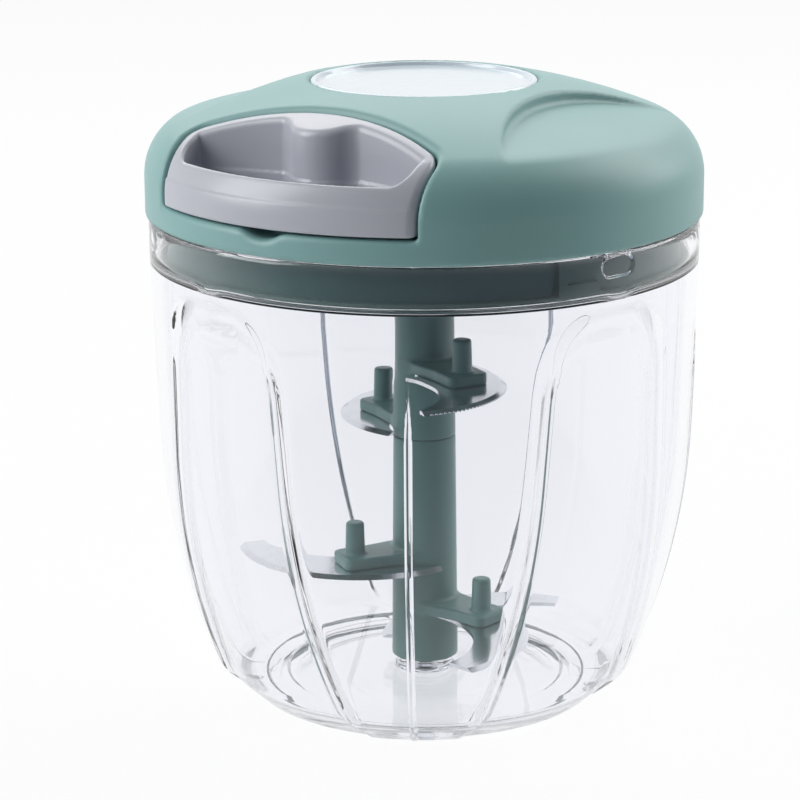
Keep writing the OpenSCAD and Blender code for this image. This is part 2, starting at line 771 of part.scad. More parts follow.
function wind_point(i) =
    let (a = 270 - tangent_deg - 360 * (cord_turns - i / wind_rings))
    [wind_r * cos(a), wind_r * sin(a), wind_z0 + cord_step * i / wind_rings];
wind_path = [for (i = [0 : cord_turns * wind_rings]) wind_point(i)];
turn_gap = min([for (i = [0 : wind_rings]) norm(wind_path[i + wind_rings] - wind_path[i])]) - cord_d;
echo(cord_turn_gap = turn_gap);
lead_dir = unit([0, bend_y, cord_z] - tangent_point);
lead_path = [tangent_point + 0.4 * lead_dir, tangent_point + 4 * lead_dir, tangent_point + 8 * lead_dir,
             [0, bend_y, cord_z] - 3 * lead_dir, [0, bend_y, cord_z] - 1 * lead_dir,
             [0, bend_y - 0.6, cord_z], [0, bend_y - 2, cord_z], [0, tray_back_y, cord_z],
             [0, knot_y + knot_r + 0.15, cord_z]];

module cord_winding() color(cord_white) tube(wind_path, cord_d / 2, wind_sides);

module cord_lead() color(cord_white) tube(lead_path, cord_d / 2, cord_sides);

module cord_eyelet() color(steel) translate([0, eyelet_y, cord_z]) rotate([90, 0, 0]) difference() {
    union() {
        cylinder(h = tray_wall, r = eyelet_r);
        translate([0, 0, -eyelet_flange_t]) cylinder(h = eyelet_flange_t, r = eyelet_flange_r);
    }
    translate([0, 0, -eyelet_flange_t - over])
        cylinder(h = tray_wall + eyelet_flange_t + 2 * over, r = eyelet_bore);
}

module cord_knot() color(cord_white) translate([0, knot_y, cord_z]) {
    sphere(r = knot_r, $fn = 48);
    translate([0, 0, -knot_r * 0.7]) sphere(r = knot_r * 0.8, $fn = 48);
}

// Handle

module pull_handle() color(lilac_grey) difference() {
    intersection() {
        translate([0, 0, handle_z]) linear_extrude(lid_h) rounded(corner_r) handle_plan();
        handle_front();
    }
    translate([0, 0, handle_z + handle_floor]) linear_extrude(lid_h) finger_plan();
    translate([0, handle_back_y + over, cord_z]) rotate([90, 0, 0])
        cylinder(h = handle_back_y - knot_y + over, r = cord_bore);
    translate([0, knot_y, handle_z - over])
        cylinder(h = cord_z + knot_bore - handle_z + over, r = knot_bore);
}

// The handle's outer form: the lid's own roll, lowered, with a small step in above the band
module handle_front() {
    translate([0, 0, -handle_sink]) rotate_extrude() {
        lid_half(handle_step);
        intersection() {
            lid_half(0);
            square([lid_r, handle_z + handle_band + handle_sink]);
        }
    }
}

// Finger space inside the handle, bulged in at the back round the cord's boss
module finger_plan() {
    rounded(finger_r) offset(delta = -finger_r) offset(r = finger_r, $fn = corner_fn) difference() {
        handle_plan(handle_wall);
        translate([0, boss_y]) circle(r = boss_r);
    }
}

// Blade set

// Arm with its upright peg; the top of the arm is at z = 0
module blade_arm() {
    translate([0, 0, -arm_t]) linear_extrude(arm_t) polygon([
        [0, -arm_root_w / 2], [arm_l - arm_shank, -arm_end_w / 2], [arm_l - arm_corner, -arm_end_w / 2],
        [arm_l, -arm_end_w / 2 + arm_corner], [arm_l, arm_end_w / 2 - arm_corner],
        [arm_l - arm_corner, arm_end_w / 2], [arm_l - arm_shank, arm_end_w / 2], [0, arm_root_w / 2]]);
    translate([peg_at, 0, -arm_t])
        cylinder(h = arm_t + peg_h, r1 = peg_r + peg_draft, r2 = peg_r - peg_draft);
    translate([peg_at, 0, -arm_t - stake_h]) cylinder(h = stake_h + over / 2, r = stake_r);
}

module lower_hub() color(deep_green) difference() {
    union() {
        translate([0, 0, hub_z]) cylinder(h = hub_split_z - hub_z, r1 = hub_foot_r, r2 = hub_split_r);
        translate([0, 0, hub_split_z]) hexagon(spigot_flats, spigot_l);
        for (arm = [lower_high, lower_mid, lower_low])
            at_angle(arm[0]) translate([0, 0, arm[1]]) blade_arm();
    }
    translate([0, 0, hub_z - over]) cylinder(h = pin_top_z - hub_z + over + 0.5, r = pin_r + run_gap);
}

module upper_hub() color(deep_green) difference() {
    union() {
        translate([0, 0, hub_split_z])
            cylinder(h = hub_top_z - hub_split_z, r1 = hub_split_r, r2 = hub_top_r);
        for (arm = [upper_front, upper_rear]) at_angle(arm[0]) translate([0, 0, arm[1]]) blade_arm();
    }
    translate([0, 0, hub_split_z - over]) hexagon(spigot_flats + 2 * seat_gap, spigot_l + over + 0.3);
    translate([0, 0, hub_top_z - drive_l - 0.4]) hexagon(drive_flats + 2 * run_gap, drive_l + over + 0.4);
}

// Blade from a plan, with its outer edge ground to a bevel about the edge's own centre
module blade(arm, edge_at, edge_r) {
    at_angle(arm[0]) translate([0, 0, arm[1] - arm_t - blade_t]) difference() {
        intersection() {
            linear_extrude(blade_t) children();
            translate(edge_at) cylinder(h = blade_t, r1 = edge_r, r2 = edge_r - edge_bevel, $fn = 180);
        }
        translate([0, 0, -over]) cylinder(h = blade_t + 2 * over, r = hub_foot_r + hub_clear);
        translate([peg_at, 0, -over]) cylinder(h = blade_t + 2 * over, r = stake_r + seat_gap);
    }
}

// Upper blade: a sickle between two arcs, its edge notched into fine teeth
upper_at = [upper_reach - upper_r, -upper_edge_back];
upper_teeth_deg = 72;
upper_teeth_start = -8;

module sickle_plan(edge_at, edge_r, hollow_shift, hollow_r, tip) {
    difference() {
        intersection() {
            translate(edge_at) circle(r = edge_r);
            translate([0, -tip]) square([edge_at[0] + edge_r, heel + tip]);
        }
        translate(edge_at + hollow_shift) circle(r = hollow_r);
        translate([-over, -tip - over]) square([hub_foot_r + over, tip - hub_foot_r + heel_gap + over]);
    }
}

module upper_plan() {
    difference() {
        sickle_plan(upper_at, upper_r, upper_hollow_shift, upper_hollow_r, upper_tip);
        for (i = [0 : tooth_count - 1]) translate(upper_at)
            rotate([0, 0, upper_teeth_start + i * upper_teeth_deg / tooth_count])
                translate([upper_r, 0]) circle(r = tooth_r, $fn = 16);
    }
}

module upper_blade_front() color(steel) blade(upper_front, upper_at, upper_r) upper_plan();

module upper_blade_rear() color(steel) blade(upper_rear, upper_at, upper_r) upper_plan();

// Lower blade: a longer sickle with a plain edge, whose tip clears the bowl at the lowest arm
lower_tip_x = sqrt(pow(lower_tip_r, 2) - pow(lower_tip, 2));
lower_at = [lower_tip_x - sqrt(pow(lower_r, 2) - pow(lower_tip - lower_edge_back, 2)), -lower_edge_back];

module lower_plan() {
    sickle_plan(lower_at, lower_r, lower_hollow_shift, lower_hollow_r, lower_tip);
}

module lower_blade_high() color(steel) blade(lower_high, lower_at, lower_r) lower_plan();

module lower_blade_mid() color(steel) blade(lower_mid, lower_at, lower_r) lower_plan();

module lower_blade_low() color(steel) blade(lower_low, lower_at, lower_r) lower_plan();

bowl();
spindle_pin();
seal_ring();
lid_shell();
top_disc();
base_plate();
plate_screws();
drive_bush();
thrust_washer();
spring_case();
case_screws();
return_spring();
axle_pin();
cord_eyelet();
cord_lead();
pull_handle();
cord_knot();
spool();
cord_winding();
drive_shaft();
lower_hub();
upper_hub();
upper_blade_front();
upper_blade_rear();
lower_blade_high();
lower_blade_mid();
lower_blade_low();
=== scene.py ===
"""Pull-string chopper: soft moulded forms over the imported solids, set in a small studio."""

import math

import bmesh
import bpy
import numpy as np
from mathutils import Matrix, Vector
from mathutils.geometry import delaunay_2d_cdt


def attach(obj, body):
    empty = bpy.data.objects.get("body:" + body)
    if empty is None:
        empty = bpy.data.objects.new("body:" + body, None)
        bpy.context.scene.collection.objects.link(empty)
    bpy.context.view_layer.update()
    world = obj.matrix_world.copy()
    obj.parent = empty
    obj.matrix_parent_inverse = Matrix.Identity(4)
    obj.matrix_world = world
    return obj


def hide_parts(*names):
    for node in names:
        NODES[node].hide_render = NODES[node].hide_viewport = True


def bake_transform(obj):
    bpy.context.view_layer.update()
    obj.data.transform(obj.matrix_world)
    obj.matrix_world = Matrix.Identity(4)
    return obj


bl_info = {
    "name": "Pull-string chopper",
    "version": (1, 0, 0),
    "blender": (4, 5, 0),
    "location": "View3D > Sidebar > Chopper",
    "description": "Builds a clear pull-string chopper on its packed solids",
    "category": "Object",
}

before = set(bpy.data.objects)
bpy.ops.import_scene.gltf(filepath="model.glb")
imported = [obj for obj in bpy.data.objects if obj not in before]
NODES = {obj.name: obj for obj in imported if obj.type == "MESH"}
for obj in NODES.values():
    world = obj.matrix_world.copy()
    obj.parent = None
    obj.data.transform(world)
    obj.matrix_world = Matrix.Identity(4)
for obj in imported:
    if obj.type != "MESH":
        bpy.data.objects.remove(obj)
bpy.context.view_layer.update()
MM = 0.001
PICTURE_SIDE = math.radians(33.3)

# Bowl; these sizes and all that follow are in millimetres
BOWL_H, RIM_R, FOOT_R, FOOT_H, BOWL_WALL, FLOOR_T = 107.6, 59.6, 39.6, 6.0, 2.2, 4.0
CURVE_R, CURVE_TOP, DRAFT, RIM_BAND, FOOT_SOFT = 150.0, 60.0, math.radians(2), 9.6, 1.2
STRAIGHT_TOP = BOWL_H - RIM_BAND
PANEL_HALF, PANEL_CORNER, PANEL_FLARE, PANEL_DEPTH, PANEL_TOP = 15.5, 10.0, 9.0, 1.3, 96.2
SPREAD_Z, SPREAD_H, SPREAD = 78.0, 14.0, 1.5
LAND_DEG, RIB_H, RIB_POINT = 30.0, 82.0, 10.0
RIM_IN, RIM_LOW, RIM_HIGH = 57.6, 99.4, 107.1
LEDGE_R, LEDGE_Z, LEDGE_T = 54.6, 98.6, 1.0
LUGS, LUG_DEG, LUG_W, LUG_H, LUG_Z, LUG_REACH, LUG_EDGE = 3, 76.0, 8.6, 4.0, 104.2, 1.25, 0.7
INNER_LOW, INNER_HIGH, INNER_GROW, INNER_EDGE = 7.0, LEDGE_Z - LEDGE_T - 0.2, 0.9, 2.1
FLOOR_BEND_MID, FLOOR_BEND_IN, FLOOR_BEND_DOWN = 1.4, 4.8, 3.0
PANEL_TURNS = [math.radians(LAND_DEG + 45 + 90 * k) for k in range(4)]

# Turned surfaces of the bowl as rings, each a radius and a height
FOOT_RINGS = [(36.2, 0.0), (35.7, 0.15), (35.5, 0.5), (35.5, 1.0), (35.2, 1.2), (31.3, 1.2),
              (30.9, 1.35), (30.8, 1.6), (30.4, 1.8), (20.0, 1.8), (10.0, 1.8)]
RIM_RINGS = [(RIM_R, STRAIGHT_TOP), (RIM_R, 102.5), (RIM_R, 106.4), (RIM_R - 0.06, 106.8),
             (RIM_R - 0.24, 107.18), (RIM_R - 0.52, 107.46), (RIM_R - 0.9, BOWL_H),
             (58.1, BOWL_H), (57.75, 107.45), (RIM_IN, RIM_HIGH)]
LEDGE_RINGS = [(RIM_IN, RIM_LOW), (57.45, 98.85), (57.0, LEDGE_Z), (55.0, LEDGE_Z),
               (54.72, 98.52), (LEDGE_R, 98.32), (LEDGE_R, 98.2), (54.72, 98.02), (55.0, 97.94)]
BOSS_RINGS = [(34.0, FLOOR_T), (20.0, FLOOR_T), (8.0, FLOOR_T), (6.7, 4.05), (6.2, 4.3),
              (6.0, 4.8), (6.0, 5.6), (5.6, 6.0), (2.4, 6.0), (2.05, 5.7), (2.05, 2.2)]
# Fillet under the ledge, each point a distance in from the wall and a height
LEDGE_FILLET = [(0.8, 97.74), (0.25, 97.62), (0.0, INNER_HIGH)]

# Lid and its inlay
LID_Z, LID_R, LID_WALL, LID_TOP, SHOULDER_R, DOME_R = 107.9, 60.3, 2.2, 138.4, 13.0, 140.0
DOME_Z = LID_TOP - DOME_R
SHOULDER_X = LID_R - SHOULDER_R
SHOULDER_Z = DOME_Z + math.sqrt((DOME_R - SHOULDER_R) ** 2 - SHOULDER_X ** 2)
PALM_NEAR, PALM_R, PALM_FLOOR_R, PALM_DROP = 29.5, 54.5, 220.0, 4.1
PALM_Z = LID_TOP - PALM_DROP - PALM_FLOOR_R
POCKET_Z, POCKET_GAP, TRAY_WALL, TRAY_FLOOR = 113.2, 0.5, 2.2, 3.6
NOTCH_R, NOTCH_RISE, NOTCH_DEEP = 7.5, 5.8, 7.0
EYELET_HOLE, EYELET_Y, EYELET_HALF = 2.62, -32.8, 3.0
DISC_R, DISC_GAP, DISC_DISH, DISH_R, DISH_STEP = 24.4, 0.1, 1.0, 23.4, 0.7
DISC_EDGE_Z = DOME_Z + math.sqrt(DOME_R ** 2 - DISC_R ** 2) - 0.15
DISC_Z = DISC_EDGE_Z - 1.7
# Posts under the lid: angle, distance from the axis, radius and height of the foot
LID_POSTS = [(degrees, 45.0, 3.6, LID_Z + 1.4) for degrees in (60, 120, 240, 300)]
LID_POSTS += [(degrees, 28.5, 3.2, 126.0) for degrees in (60, 180, 300)]

# Handle
HANDLE_Z, HANDLE_W, HANDLE_BACK_Y, HANDLE_BACK_R, HANDLE_SINK = 113.7, 62.0, -34.4, 75.0, 0.2
HANDLE_WALL, HANDLE_FLOOR, CORNER_R, BOSS_Y, BOSS_R = 3.4, 2.0, 3.0, -35.4, 8.0
BAND_TOP, BAND_SOFT, LINE_Z, LINE_SOFT, LINE_DEEP = 119.35, 0.3, 120.9, 0.25, 0.3
BORE_R, BORE_Y, BORE_HALF, KNOT_Y, KNOT_BORE = 1.1, -36.4, 3.0, -39.0, 2.8

# Hubs and arms; an arm is its angle from the handle and the height of its top
HUB_Z, HUB_SPLIT, HUB_TOP, HUB_FOOT_R, HUB_TOP_R = 6.3, 57.2, 99.5, 7.4, 6.4
SPIGOT_FLATS, SPIGOT_MID, SPIGOT_HALF, PIN_BORE_R, PIN_BORE_TOP = 7.4, 3.0, 5.0, 2.05, 16.5
SOCKET_FLATS, SOCKET_DEEP, DRIVE_FLATS, DRIVE_DEEP = 7.44, 8.3, 6.7, 14.4
ARM_L, ARM_T, ARM_ROOT, ARM_END, ARM_SHANK = 20.5, 2.5, 6.5, 4.7, 8.0
PEG_AT, PEG_R, PEG_H, PEG_DRAFT, STAKE_R, STAKE_MID, STAKE_HALF = 16.8, 2.2, 7.1, 0.2, 1.6, 0.5, 1.0
UPPER_ARMS = ((62.0, 75.0), (-113.0, 61.3))
LOWER_ARMS = ((-33.0, 31.5), (81.0, 20.0), (200.0, 12.0))
COS_60, SIN_60 = 0.5, 0.8660254

# Cord
CORD_D, CORD_TURNS, CORD_STEP, CORD_Z, WIND_R, CORD_TAIL = 1.5, 3, 2.1, 119.2, 20.973, 8.6
CORD_STRANDS, CORD_SIDES, TURN_STEPS = 3, 24, 240
EYELET_BACK_Y, EYELET_FLANGE, BEND_GAP, BEND_R, KNOT_END_Y = -31.7, 1.0, 1.1, 1.2, -36.5

# Loops and rows of the bowl's mesh; a wall is unrolled at the radius FLAT
FLAT = 50.0
SPAN, SPAN_STEPS, CORNER_STEPS = math.pi / 4, 49, 11
ROW_H, FOOT_ROW_H, WALL_ROW_H, FOOT_ROWS_TOP, TOP_CLEAR = 1.6, 1.2, 2.4, 8.5, 1.0
EDGE_LOOPS = (-0.75, -0.5, -0.36, -0.22, -0.08, 0.08, 0.22, 0.36, 0.5, 0.75, 1.1, 1.5, 2.0)
EDGE_CLEAR_OUT, EDGE_CLEAR_IN, PATCH_GAP = 0.7, 0.9, 0.2
RIB_LOOPS, RIB_OVER = (0.2, 0.42, 0.6, 0.74, 0.84, 0.92, 1.05, 1.5), 2.0
RIB_CLEAR, LAND_CLEAR = 1.9 / 40 * FLAT, 0.6
LUG_LOOPS, LUG_CLEAR = (-0.55, -0.35, -0.2, -0.07, 0.07, 0.2, 0.35, 0.55), 1.2


class BowlLook(bpy.types.PropertyGroup):
    """Sizes and finish of the clear bowl."""
    tint: bpy.props.FloatVectorProperty(
        name="Tint", description="Colour that the clear wall passes",
        subtype="COLOR", size=3, min=0, max=1, default=(0.947, 0.953, 0.979))
    panel_edge: bpy.props.FloatProperty(
        name="Panel edge", description="Width of the rounded edge of a scooped panel",
        default=0.0021, min=0.0008, max=0.004, unit="LENGTH")
    rib_half: bpy.props.FloatProperty(
        name="Rib", description="Half the width of the rib on a land",
        default=0.00075, min=0.0004, max=0.002, unit="LENGTH")
    rib_proud: bpy.props.FloatProperty(
        name="Rib height", description="How far the rib stands out of the land",
        default=0.0005, min=0.0002, max=0.001, unit="LENGTH")


class LidLook(bpy.types.PropertyGroup):
    """Sizes and finish of the lid and its inlay."""
    sage: bpy.props.FloatVectorProperty(
        name="Sage", description="Colour of the moulded lid",
        subtype="COLOR", size=3, min=0, max=1, default=(0.212, 0.392, 0.382))
    ice: bpy.props.FloatVectorProperty(
        name="Ice", description="Colour of the round inlay",
        subtype="COLOR", size=3, min=0, max=1, default=(0.64, 0.73, 0.79))
    grain: bpy.props.FloatProperty(
        name="Grain", description="Size of the eroded grain",
        default=0.0005, min=0.0002, max=0.003, unit="LENGTH")
    lip: bpy.props.FloatProperty(
        name="Lip", description="Radius of the pocket's soft lip",
        default=0.0013, min=0.0003, max=0.003, unit="LENGTH")
    fineness: bpy.props.FloatProperty(
        name="Fineness", description="Size of the lid's mesh faces",
        default=0.00072, min=0.0004, max=0.002, unit="LENGTH")


class HandleLook(bpy.types.PropertyGroup):
    """Sizes and finish of the pull handle."""
    lilac: bpy.props.FloatVectorProperty(
        name="Lilac grey", description="Colour of the handle",
        subtype="COLOR", size=3, min=0, max=1, default=(0.455, 0.470, 0.520))
    roll: bpy.props.FloatProperty(
        name="Roll", description="Radius of the rolled rim",
        default=0.0012, min=0.0004, max=0.0017, unit="LENGTH")
    step: bpy.props.FloatProperty(
        name="Step", description="Step above the band along the front",
        default=0.0003, min=0, max=0.0008, unit="LENGTH")
    fineness: bpy.props.FloatProperty(
        name="Fineness", description="Size of the handle's mesh faces",
        default=0.0004, min=0.0003, max=0.001, unit="LENGTH")


class BladeLook(bpy.types.PropertyGroup):
    """Finish of the hubs and the blades."""
    # The inner plate uses this colour at 0.66. That darkening is partly the plate's own duller
    # plastic and partly painted shade from the lid's overhang.
    deep: bpy.props.FloatVectorProperty(
        name="Deep green", description="Colour of the hubs and, darker, of the inner plate",
        subtype="COLOR", size=3, min=0, max=1, default=(0.072, 0.158, 0.146))
    steel: bpy.props.FloatVectorProperty(
        name="Steel", description="Colour of the blades",
        subtype="COLOR", size=3, min=0, max=1, default=(0.78, 0.79, 0.81))
    fineness: bpy.props.FloatProperty(
        name="Fineness", description="Size of the hubs' mesh faces",
        default=0.0004, min=0.0003, max=0.001, unit="LENGTH")


class CordLook(bpy.types.PropertyGroup):
    """Finish of the cord."""
    cord: bpy.props.FloatVectorProperty(
        name="Cord", description="Colour of the cord",
        subtype="COLOR", size=3, min=0, max=1, default=(0.50, 0.50, 0.46))
    lay: bpy.props.FloatProperty(
        name="Lay", description="Length in which a strand of the cord goes once round",
        default=0.0062, min=0.003, max=0.02, unit="LENGTH")


class StageLook(bpy.types.PropertyGroup):
    """Place and lens of the camera."""
    azimuth: bpy.props.FloatProperty(
        name="Azimuth", description="Camera's turn about the object",
        default=PICTURE_SIDE, subtype="ANGLE")
    distance: bpy.props.FloatProperty(
        name="Distance", description="Camera's distance from the axis",
        default=0.63617, min=0.3, unit="LENGTH")
    height: bpy.props.FloatProperty(
        name="Height", description="Camera's height", default=0.23716, unit="LENGTH")
    tilt: bpy.props.FloatProperty(
        name="Tilt", description="How far the camera looks down",
        default=0.26495, subtype="ANGLE")
    lens: bpy.props.FloatProperty(
        name="Lens", description="Focal length on a 36 mm sensor", default=134.37, min=20)


# Signed distances in millimetres, negative inside; r is the radius of an edge or a fillet

def both(a, b, r):
    """Where two forms overlap, with the edge between them rounded."""
    sharp = np.minimum(np.maximum(a, b), -r)
    return sharp + np.hypot(np.maximum(a + r, 0), np.maximum(b + r, 0))


def either(a, b, r):
    """Two forms joined, with a fillet in the corner between them."""
    sharp = np.maximum(np.minimum(a, b), r)
    return sharp - np.hypot(np.maximum(r - a, 0), np.maximum(r - b, 0))


def without(a, b, r):
    """The first form less the second, with a rounded lip."""
    return both(a, -b, r)


def ease(t):
    """A smooth rise from 0 to 1."""
    t = np.clip(t, 0, 1)
    return t * t * (3 - 2 * t)


def lid_profile(rad, z):
    """Distance to the lid's outer form: dome, rolled shoulder and upright wall."""
    dome = np.hypot(rad, z - DOME_Z) - DOME_R
    shoulder = np.hypot(rad - SHOULDER_X, z - SHOULDER_Z) - SHOULDER_R
    rolled = rad * (SHOULDER_Z - DOME_Z) > SHOULDER_X * (z - DOME_Z)
    return np.where(z < SHOULDER_Z, rad - LID_R, np.where(rolled, shoulder, dome))


def handle_outline(x, y):
    """Plan of the handle and its pocket, open to the front."""
    back = np.hypot(x, y - HANDLE_BACK_Y + HANDLE_BACK_R) - HANDLE_BACK_R
    return both(back, np.abs(x) - HANDLE_W / 2, CORNER_R)


def turned(x, y, degrees):
    """Coordinates along and across a direction counted from the handle."""
    a = math.radians(degrees)
    return x * math.sin(a) - y * math.cos(a), x * math.cos(a) + y * math.sin(a)


def lid_field(look):
    """Lid shell with its posts, palm scoops, inlay's recess, handle's pocket and thumb notch."""
    lip = look.lip / MM

    def field(x, y, z):
        rad = np.hypot(x, y)
        outer = lid_profile(rad, z)
        plan = handle_outline(x, y)
        tray = np.maximum(plan - POCKET_GAP - TRAY_WALL, POCKET_Z - TRAY_FLOOR - z)
        ceiling = np.hypot(rad, z - PALM_Z) - (PALM_FLOOR_R - LID_WALL)
        hollow = without(np.maximum(outer + LID_WALL, ceiling), tray, 0.6)
        for degrees, at, r, foot in LID_POSTS:
            along, across = turned(x, y, degrees)
            hollow = without(hollow, np.maximum(np.hypot(along - at, across) - r, foot - z), 0.5)
        shell = without(both(outer, LID_Z - z, 0.5), hollow, 0.4)
        for side in (-1, 1):
            wall = np.hypot(x - side * (PALM_NEAR + PALM_R), y) - PALM_R
            scoop = both(wall, PALM_FLOOR_R - np.hypot(rad, z - PALM_Z), 0.8)
            shell = without(shell, scoop, 0.5)
        shell = without(shell, np.maximum(rad - DISC_R - DISC_GAP, DISC_Z - z), 0.2)
        notch = np.hypot(x, z - POCKET_Z - NOTCH_RISE) - NOTCH_R
        notch = both(notch, y + LID_R - NOTCH_DEEP, 1.0)
        pocket = either(both(plan - POCKET_GAP, POCKET_Z - z, 0.8), notch, 1.0)
        shell = without(shell, pocket, lip)
        through = np.abs(y - EYELET_Y) - EYELET_HALF
        eyelet = np.maximum(np.hypot(x, z - CORD_Z) - EYELET_HOLE, through)
        return np.maximum(shell, -eyelet)
    return field


def handle_field(look):
    """Pull handle with its rolled rim, finger space and cord boss."""
    roll, step = look.roll / MM, look.step / MM

    def field(x, y, z):
        rad = np.hypot(x, y)
        plan = handle_outline(x, y)
        front = lid_profile(rad, z + HANDLE_SINK) + step * ease((z - BAND_TOP) / BAND_SOFT)
        body = both(plan, front, roll)
        body = both(body, HANDLE_Z - z, 0.6)
        hole = both(plan + HANDLE_WALL, rad - LID_R + HANDLE_WALL, 2.5)
        hole = both(hole, BOSS_R - np.hypot(x, y - BOSS_Y), 2.5)
        hole = hole + LINE_DEEP * ease((LINE_Z - z) / LINE_SOFT)
        hole = both(hole, HANDLE_Z + HANDLE_FLOOR - z, 1.2)
        body = without(body, hole, roll)
        bore = np.maximum(np.hypot(x, z - CORD_Z) - BORE_R, np.abs(y - BORE_Y) - BORE_HALF)
        knot = np.maximum(np.hypot(x, y - KNOT_Y) - KNOT_BORE, z - CORD_Z - KNOT_BORE)
        return np.maximum(body, -np.minimum(bore, knot))
    return field


def hexagon(x, y, flats):
    """Plan of a hexagon by the distance across its flats."""
    x, y = np.abs(x), np.abs(y)
    return np.maximum(x * COS_60 + y * SIN_60, x) - flats / 2


def arm_field(x, y, z, degrees, top):
    """Arm with its upright peg and the stake that holds the blade."""
    along, across = turned(x, y, degrees)
    narrow = np.clip(along / (ARM_L - ARM_SHANK), 0, 1)
    plan = np.abs(across) - (ARM_ROOT + (ARM_END - ARM_ROOT) * narrow)
    plan = np.maximum(both(plan, along - ARM_L, 1.8), -along)
    arm = both(plan, np.abs(z - top + ARM_T / 2) - ARM_T / 2, 0.45)
    reach = np.hypot(along - PEG_AT, across)
    upright = np.abs(z - top - PEG_H / 2) - PEG_H / 2 - 0.2
    peg = both(reach - PEG_R + PEG_DRAFT * (z - top) / PEG_H, upright, 0.6)
    stake = both(reach - STAKE_R, np.abs(z - top + ARM_T + STAKE_MID) - STAKE_HALF, 0.3)
    return np.minimum(either(arm, peg, 0.7), stake)


def hub_field(arms, low, high):
    """Tapered hub with its arms: the lower one with a spigot and a bore, the upper with sockets."""
    def field(x, y, z):
        rad = np.hypot(x, y)
        taper = HUB_FOOT_R + (HUB_TOP_R - HUB_FOOT_R) * (z - HUB_Z) / (HUB_TOP - HUB_Z)
        hub = both(rad - taper, np.maximum(low - z, z - high), 0.35)
        for degrees, top in arms:
            hub = either(hub, arm_field(x, y, z, degrees, top), 0.9)
        if low < HUB_SPLIT:
            height = np.abs(z - HUB_SPLIT - SPIGOT_MID) - SPIGOT_HALF
            spigot = np.maximum(hexagon(x, y, SPIGOT_FLATS), height)
            bore = np.maximum(rad - PIN_BORE_R, z - PIN_BORE_TOP)
            return np.maximum(np.minimum(hub, spigot), -bore)
        socket = np.maximum(hexagon(x, y, SOCKET_FLATS), z - HUB_SPLIT - SOCKET_DEEP)
        drive = np.maximum(hexagon(x, y, DRIVE_FLATS), HUB_TOP - DRIVE_DEEP - z)
        return without(hub, np.minimum(socket, drive), 0.15)
    return field


# Meshes

def skinned(name, field, low, high, cell, relax=2):
    """Skins a form with quads that lie on its surface, an even net of about one cell."""
    low, high = np.array(low, float), np.array(high, float)
    count = np.ceil((high - low) / cell).astype(int) + 1
    axes = [low[k] + cell * np.arange(count[k]) for k in range(3)]
    value = field(*np.meshgrid(*axes, indexing="ij"))
    inside = value < 0
    cells = count - 1
    corners = np.array([(i, j, k) for i in (0, 1) for j in (0, 1) for k in (0, 1)])
    full = sum(inside[i:i + cells[0], j:j + cells[1], k:k + cells[2]].astype(np.int8)
               for i, j, k in corners)
    at = np.argwhere((full > 0) & (full < 8))
    index = np.full(cells, -1)
    index[tuple(at.T)] = np.arange(len(at))
    total, hits = np.zeros((len(at), 3)), np.zeros(len(at))
    for a in corners:
        for b in corners:
            if (b - a).sum() != 1 or (b < a).any():
                continue
            here, there = value[tuple((at + a).T)], value[tuple((at + b).T)]
            cut = (here < 0) != (there < 0)
            share = here[cut] / (here[cut] - there[cut])
            total[cut] += a + share[:, None] * (b - a)
            hits[cut] += 1
    points = low + cell * (at + total / hits[:, None])
    quads = np.concatenate([crossed(inside, index, cells, axis) for axis in range(3)])
    probe, flattest, own, drawn = cell * 0.08, 0.3, 0.4, 0.6

    def settled(p, times):
        """Moves points along the slope onto the surface."""
        nudge = np.eye(3) * probe
        for _ in range(times):
            rise = [field(*(p + d).T) - field(*(p - d).T) for d in nudge]
            slope = np.stack(rise, 1) / (2 * probe)
            steep = np.maximum((slope ** 2).sum(1), flattest)
            p = p - np.clip(field(*p.T)[:, None] * slope / steep[:, None], -cell, cell)
        return p

    ends = np.concatenate([quads[:, [k, (k + 1) % 4]] for k in range(4)])
    near = np.bincount(ends.ravel(), minlength=len(points))
    for _ in range(relax):
        mean = np.stack([np.bincount(ends[:, 0], points[ends[:, 1], k], len(points))
                         + np.bincount(ends[:, 1], points[ends[:, 0], k], len(points))
                         for k in range(3)], 1)
        points = settled(own * points + drawn * mean / near[:, None], 2)
    return new_mesh(name, settled(points, 2), quads)


def crossed(inside, index, cells, axis):
    """Quads round the grid's edges along an axis that the surface crosses, facing outward."""
    side, other = (axis + 1) % 3, (axis + 2) % 3
    ahead, here = [slice(None)] * 3, [slice(None)] * 3
    ahead[axis], here[axis] = slice(1, None), slice(0, -1)
    edge = np.argwhere(inside[tuple(here)] != inside[tuple(ahead)])
    edge = edge[(edge[:, side] > 0) & (edge[:, other] > 0)
                & (edge[:, side] < cells[side]) & (edge[:, other] < cells[other])]
    ring = []
    for step_side, step_other in ((-1, -1), (0, -1), (0, 0), (-1, 0)):
        place = edge.copy()
        place[:, side] += step_side
        place[:, other] += step_other
        ring.append(index[tuple(place.T)])
    quad = np.stack(ring, 1)
    outward = inside[tuple(edge.T)]
    quad[~outward] = quad[~outward][:, ::-1]
    return quad


def new_mesh(name, points, faces):
    """Object from points in millimetres."""
    mesh = bpy.data.meshes.new(name)
    places = (np.asarray(points) * MM).tolist()
    mesh.from_pydata(places, [], [list(map(int, f)) for f in faces])
    mesh.validate()
    mesh.polygons.foreach_set("use_smooth", [True] * len(mesh.polygons))
    made = bpy.data.objects.new(name, mesh)
    bpy.context.scene.collection.objects.link(made)
    return made


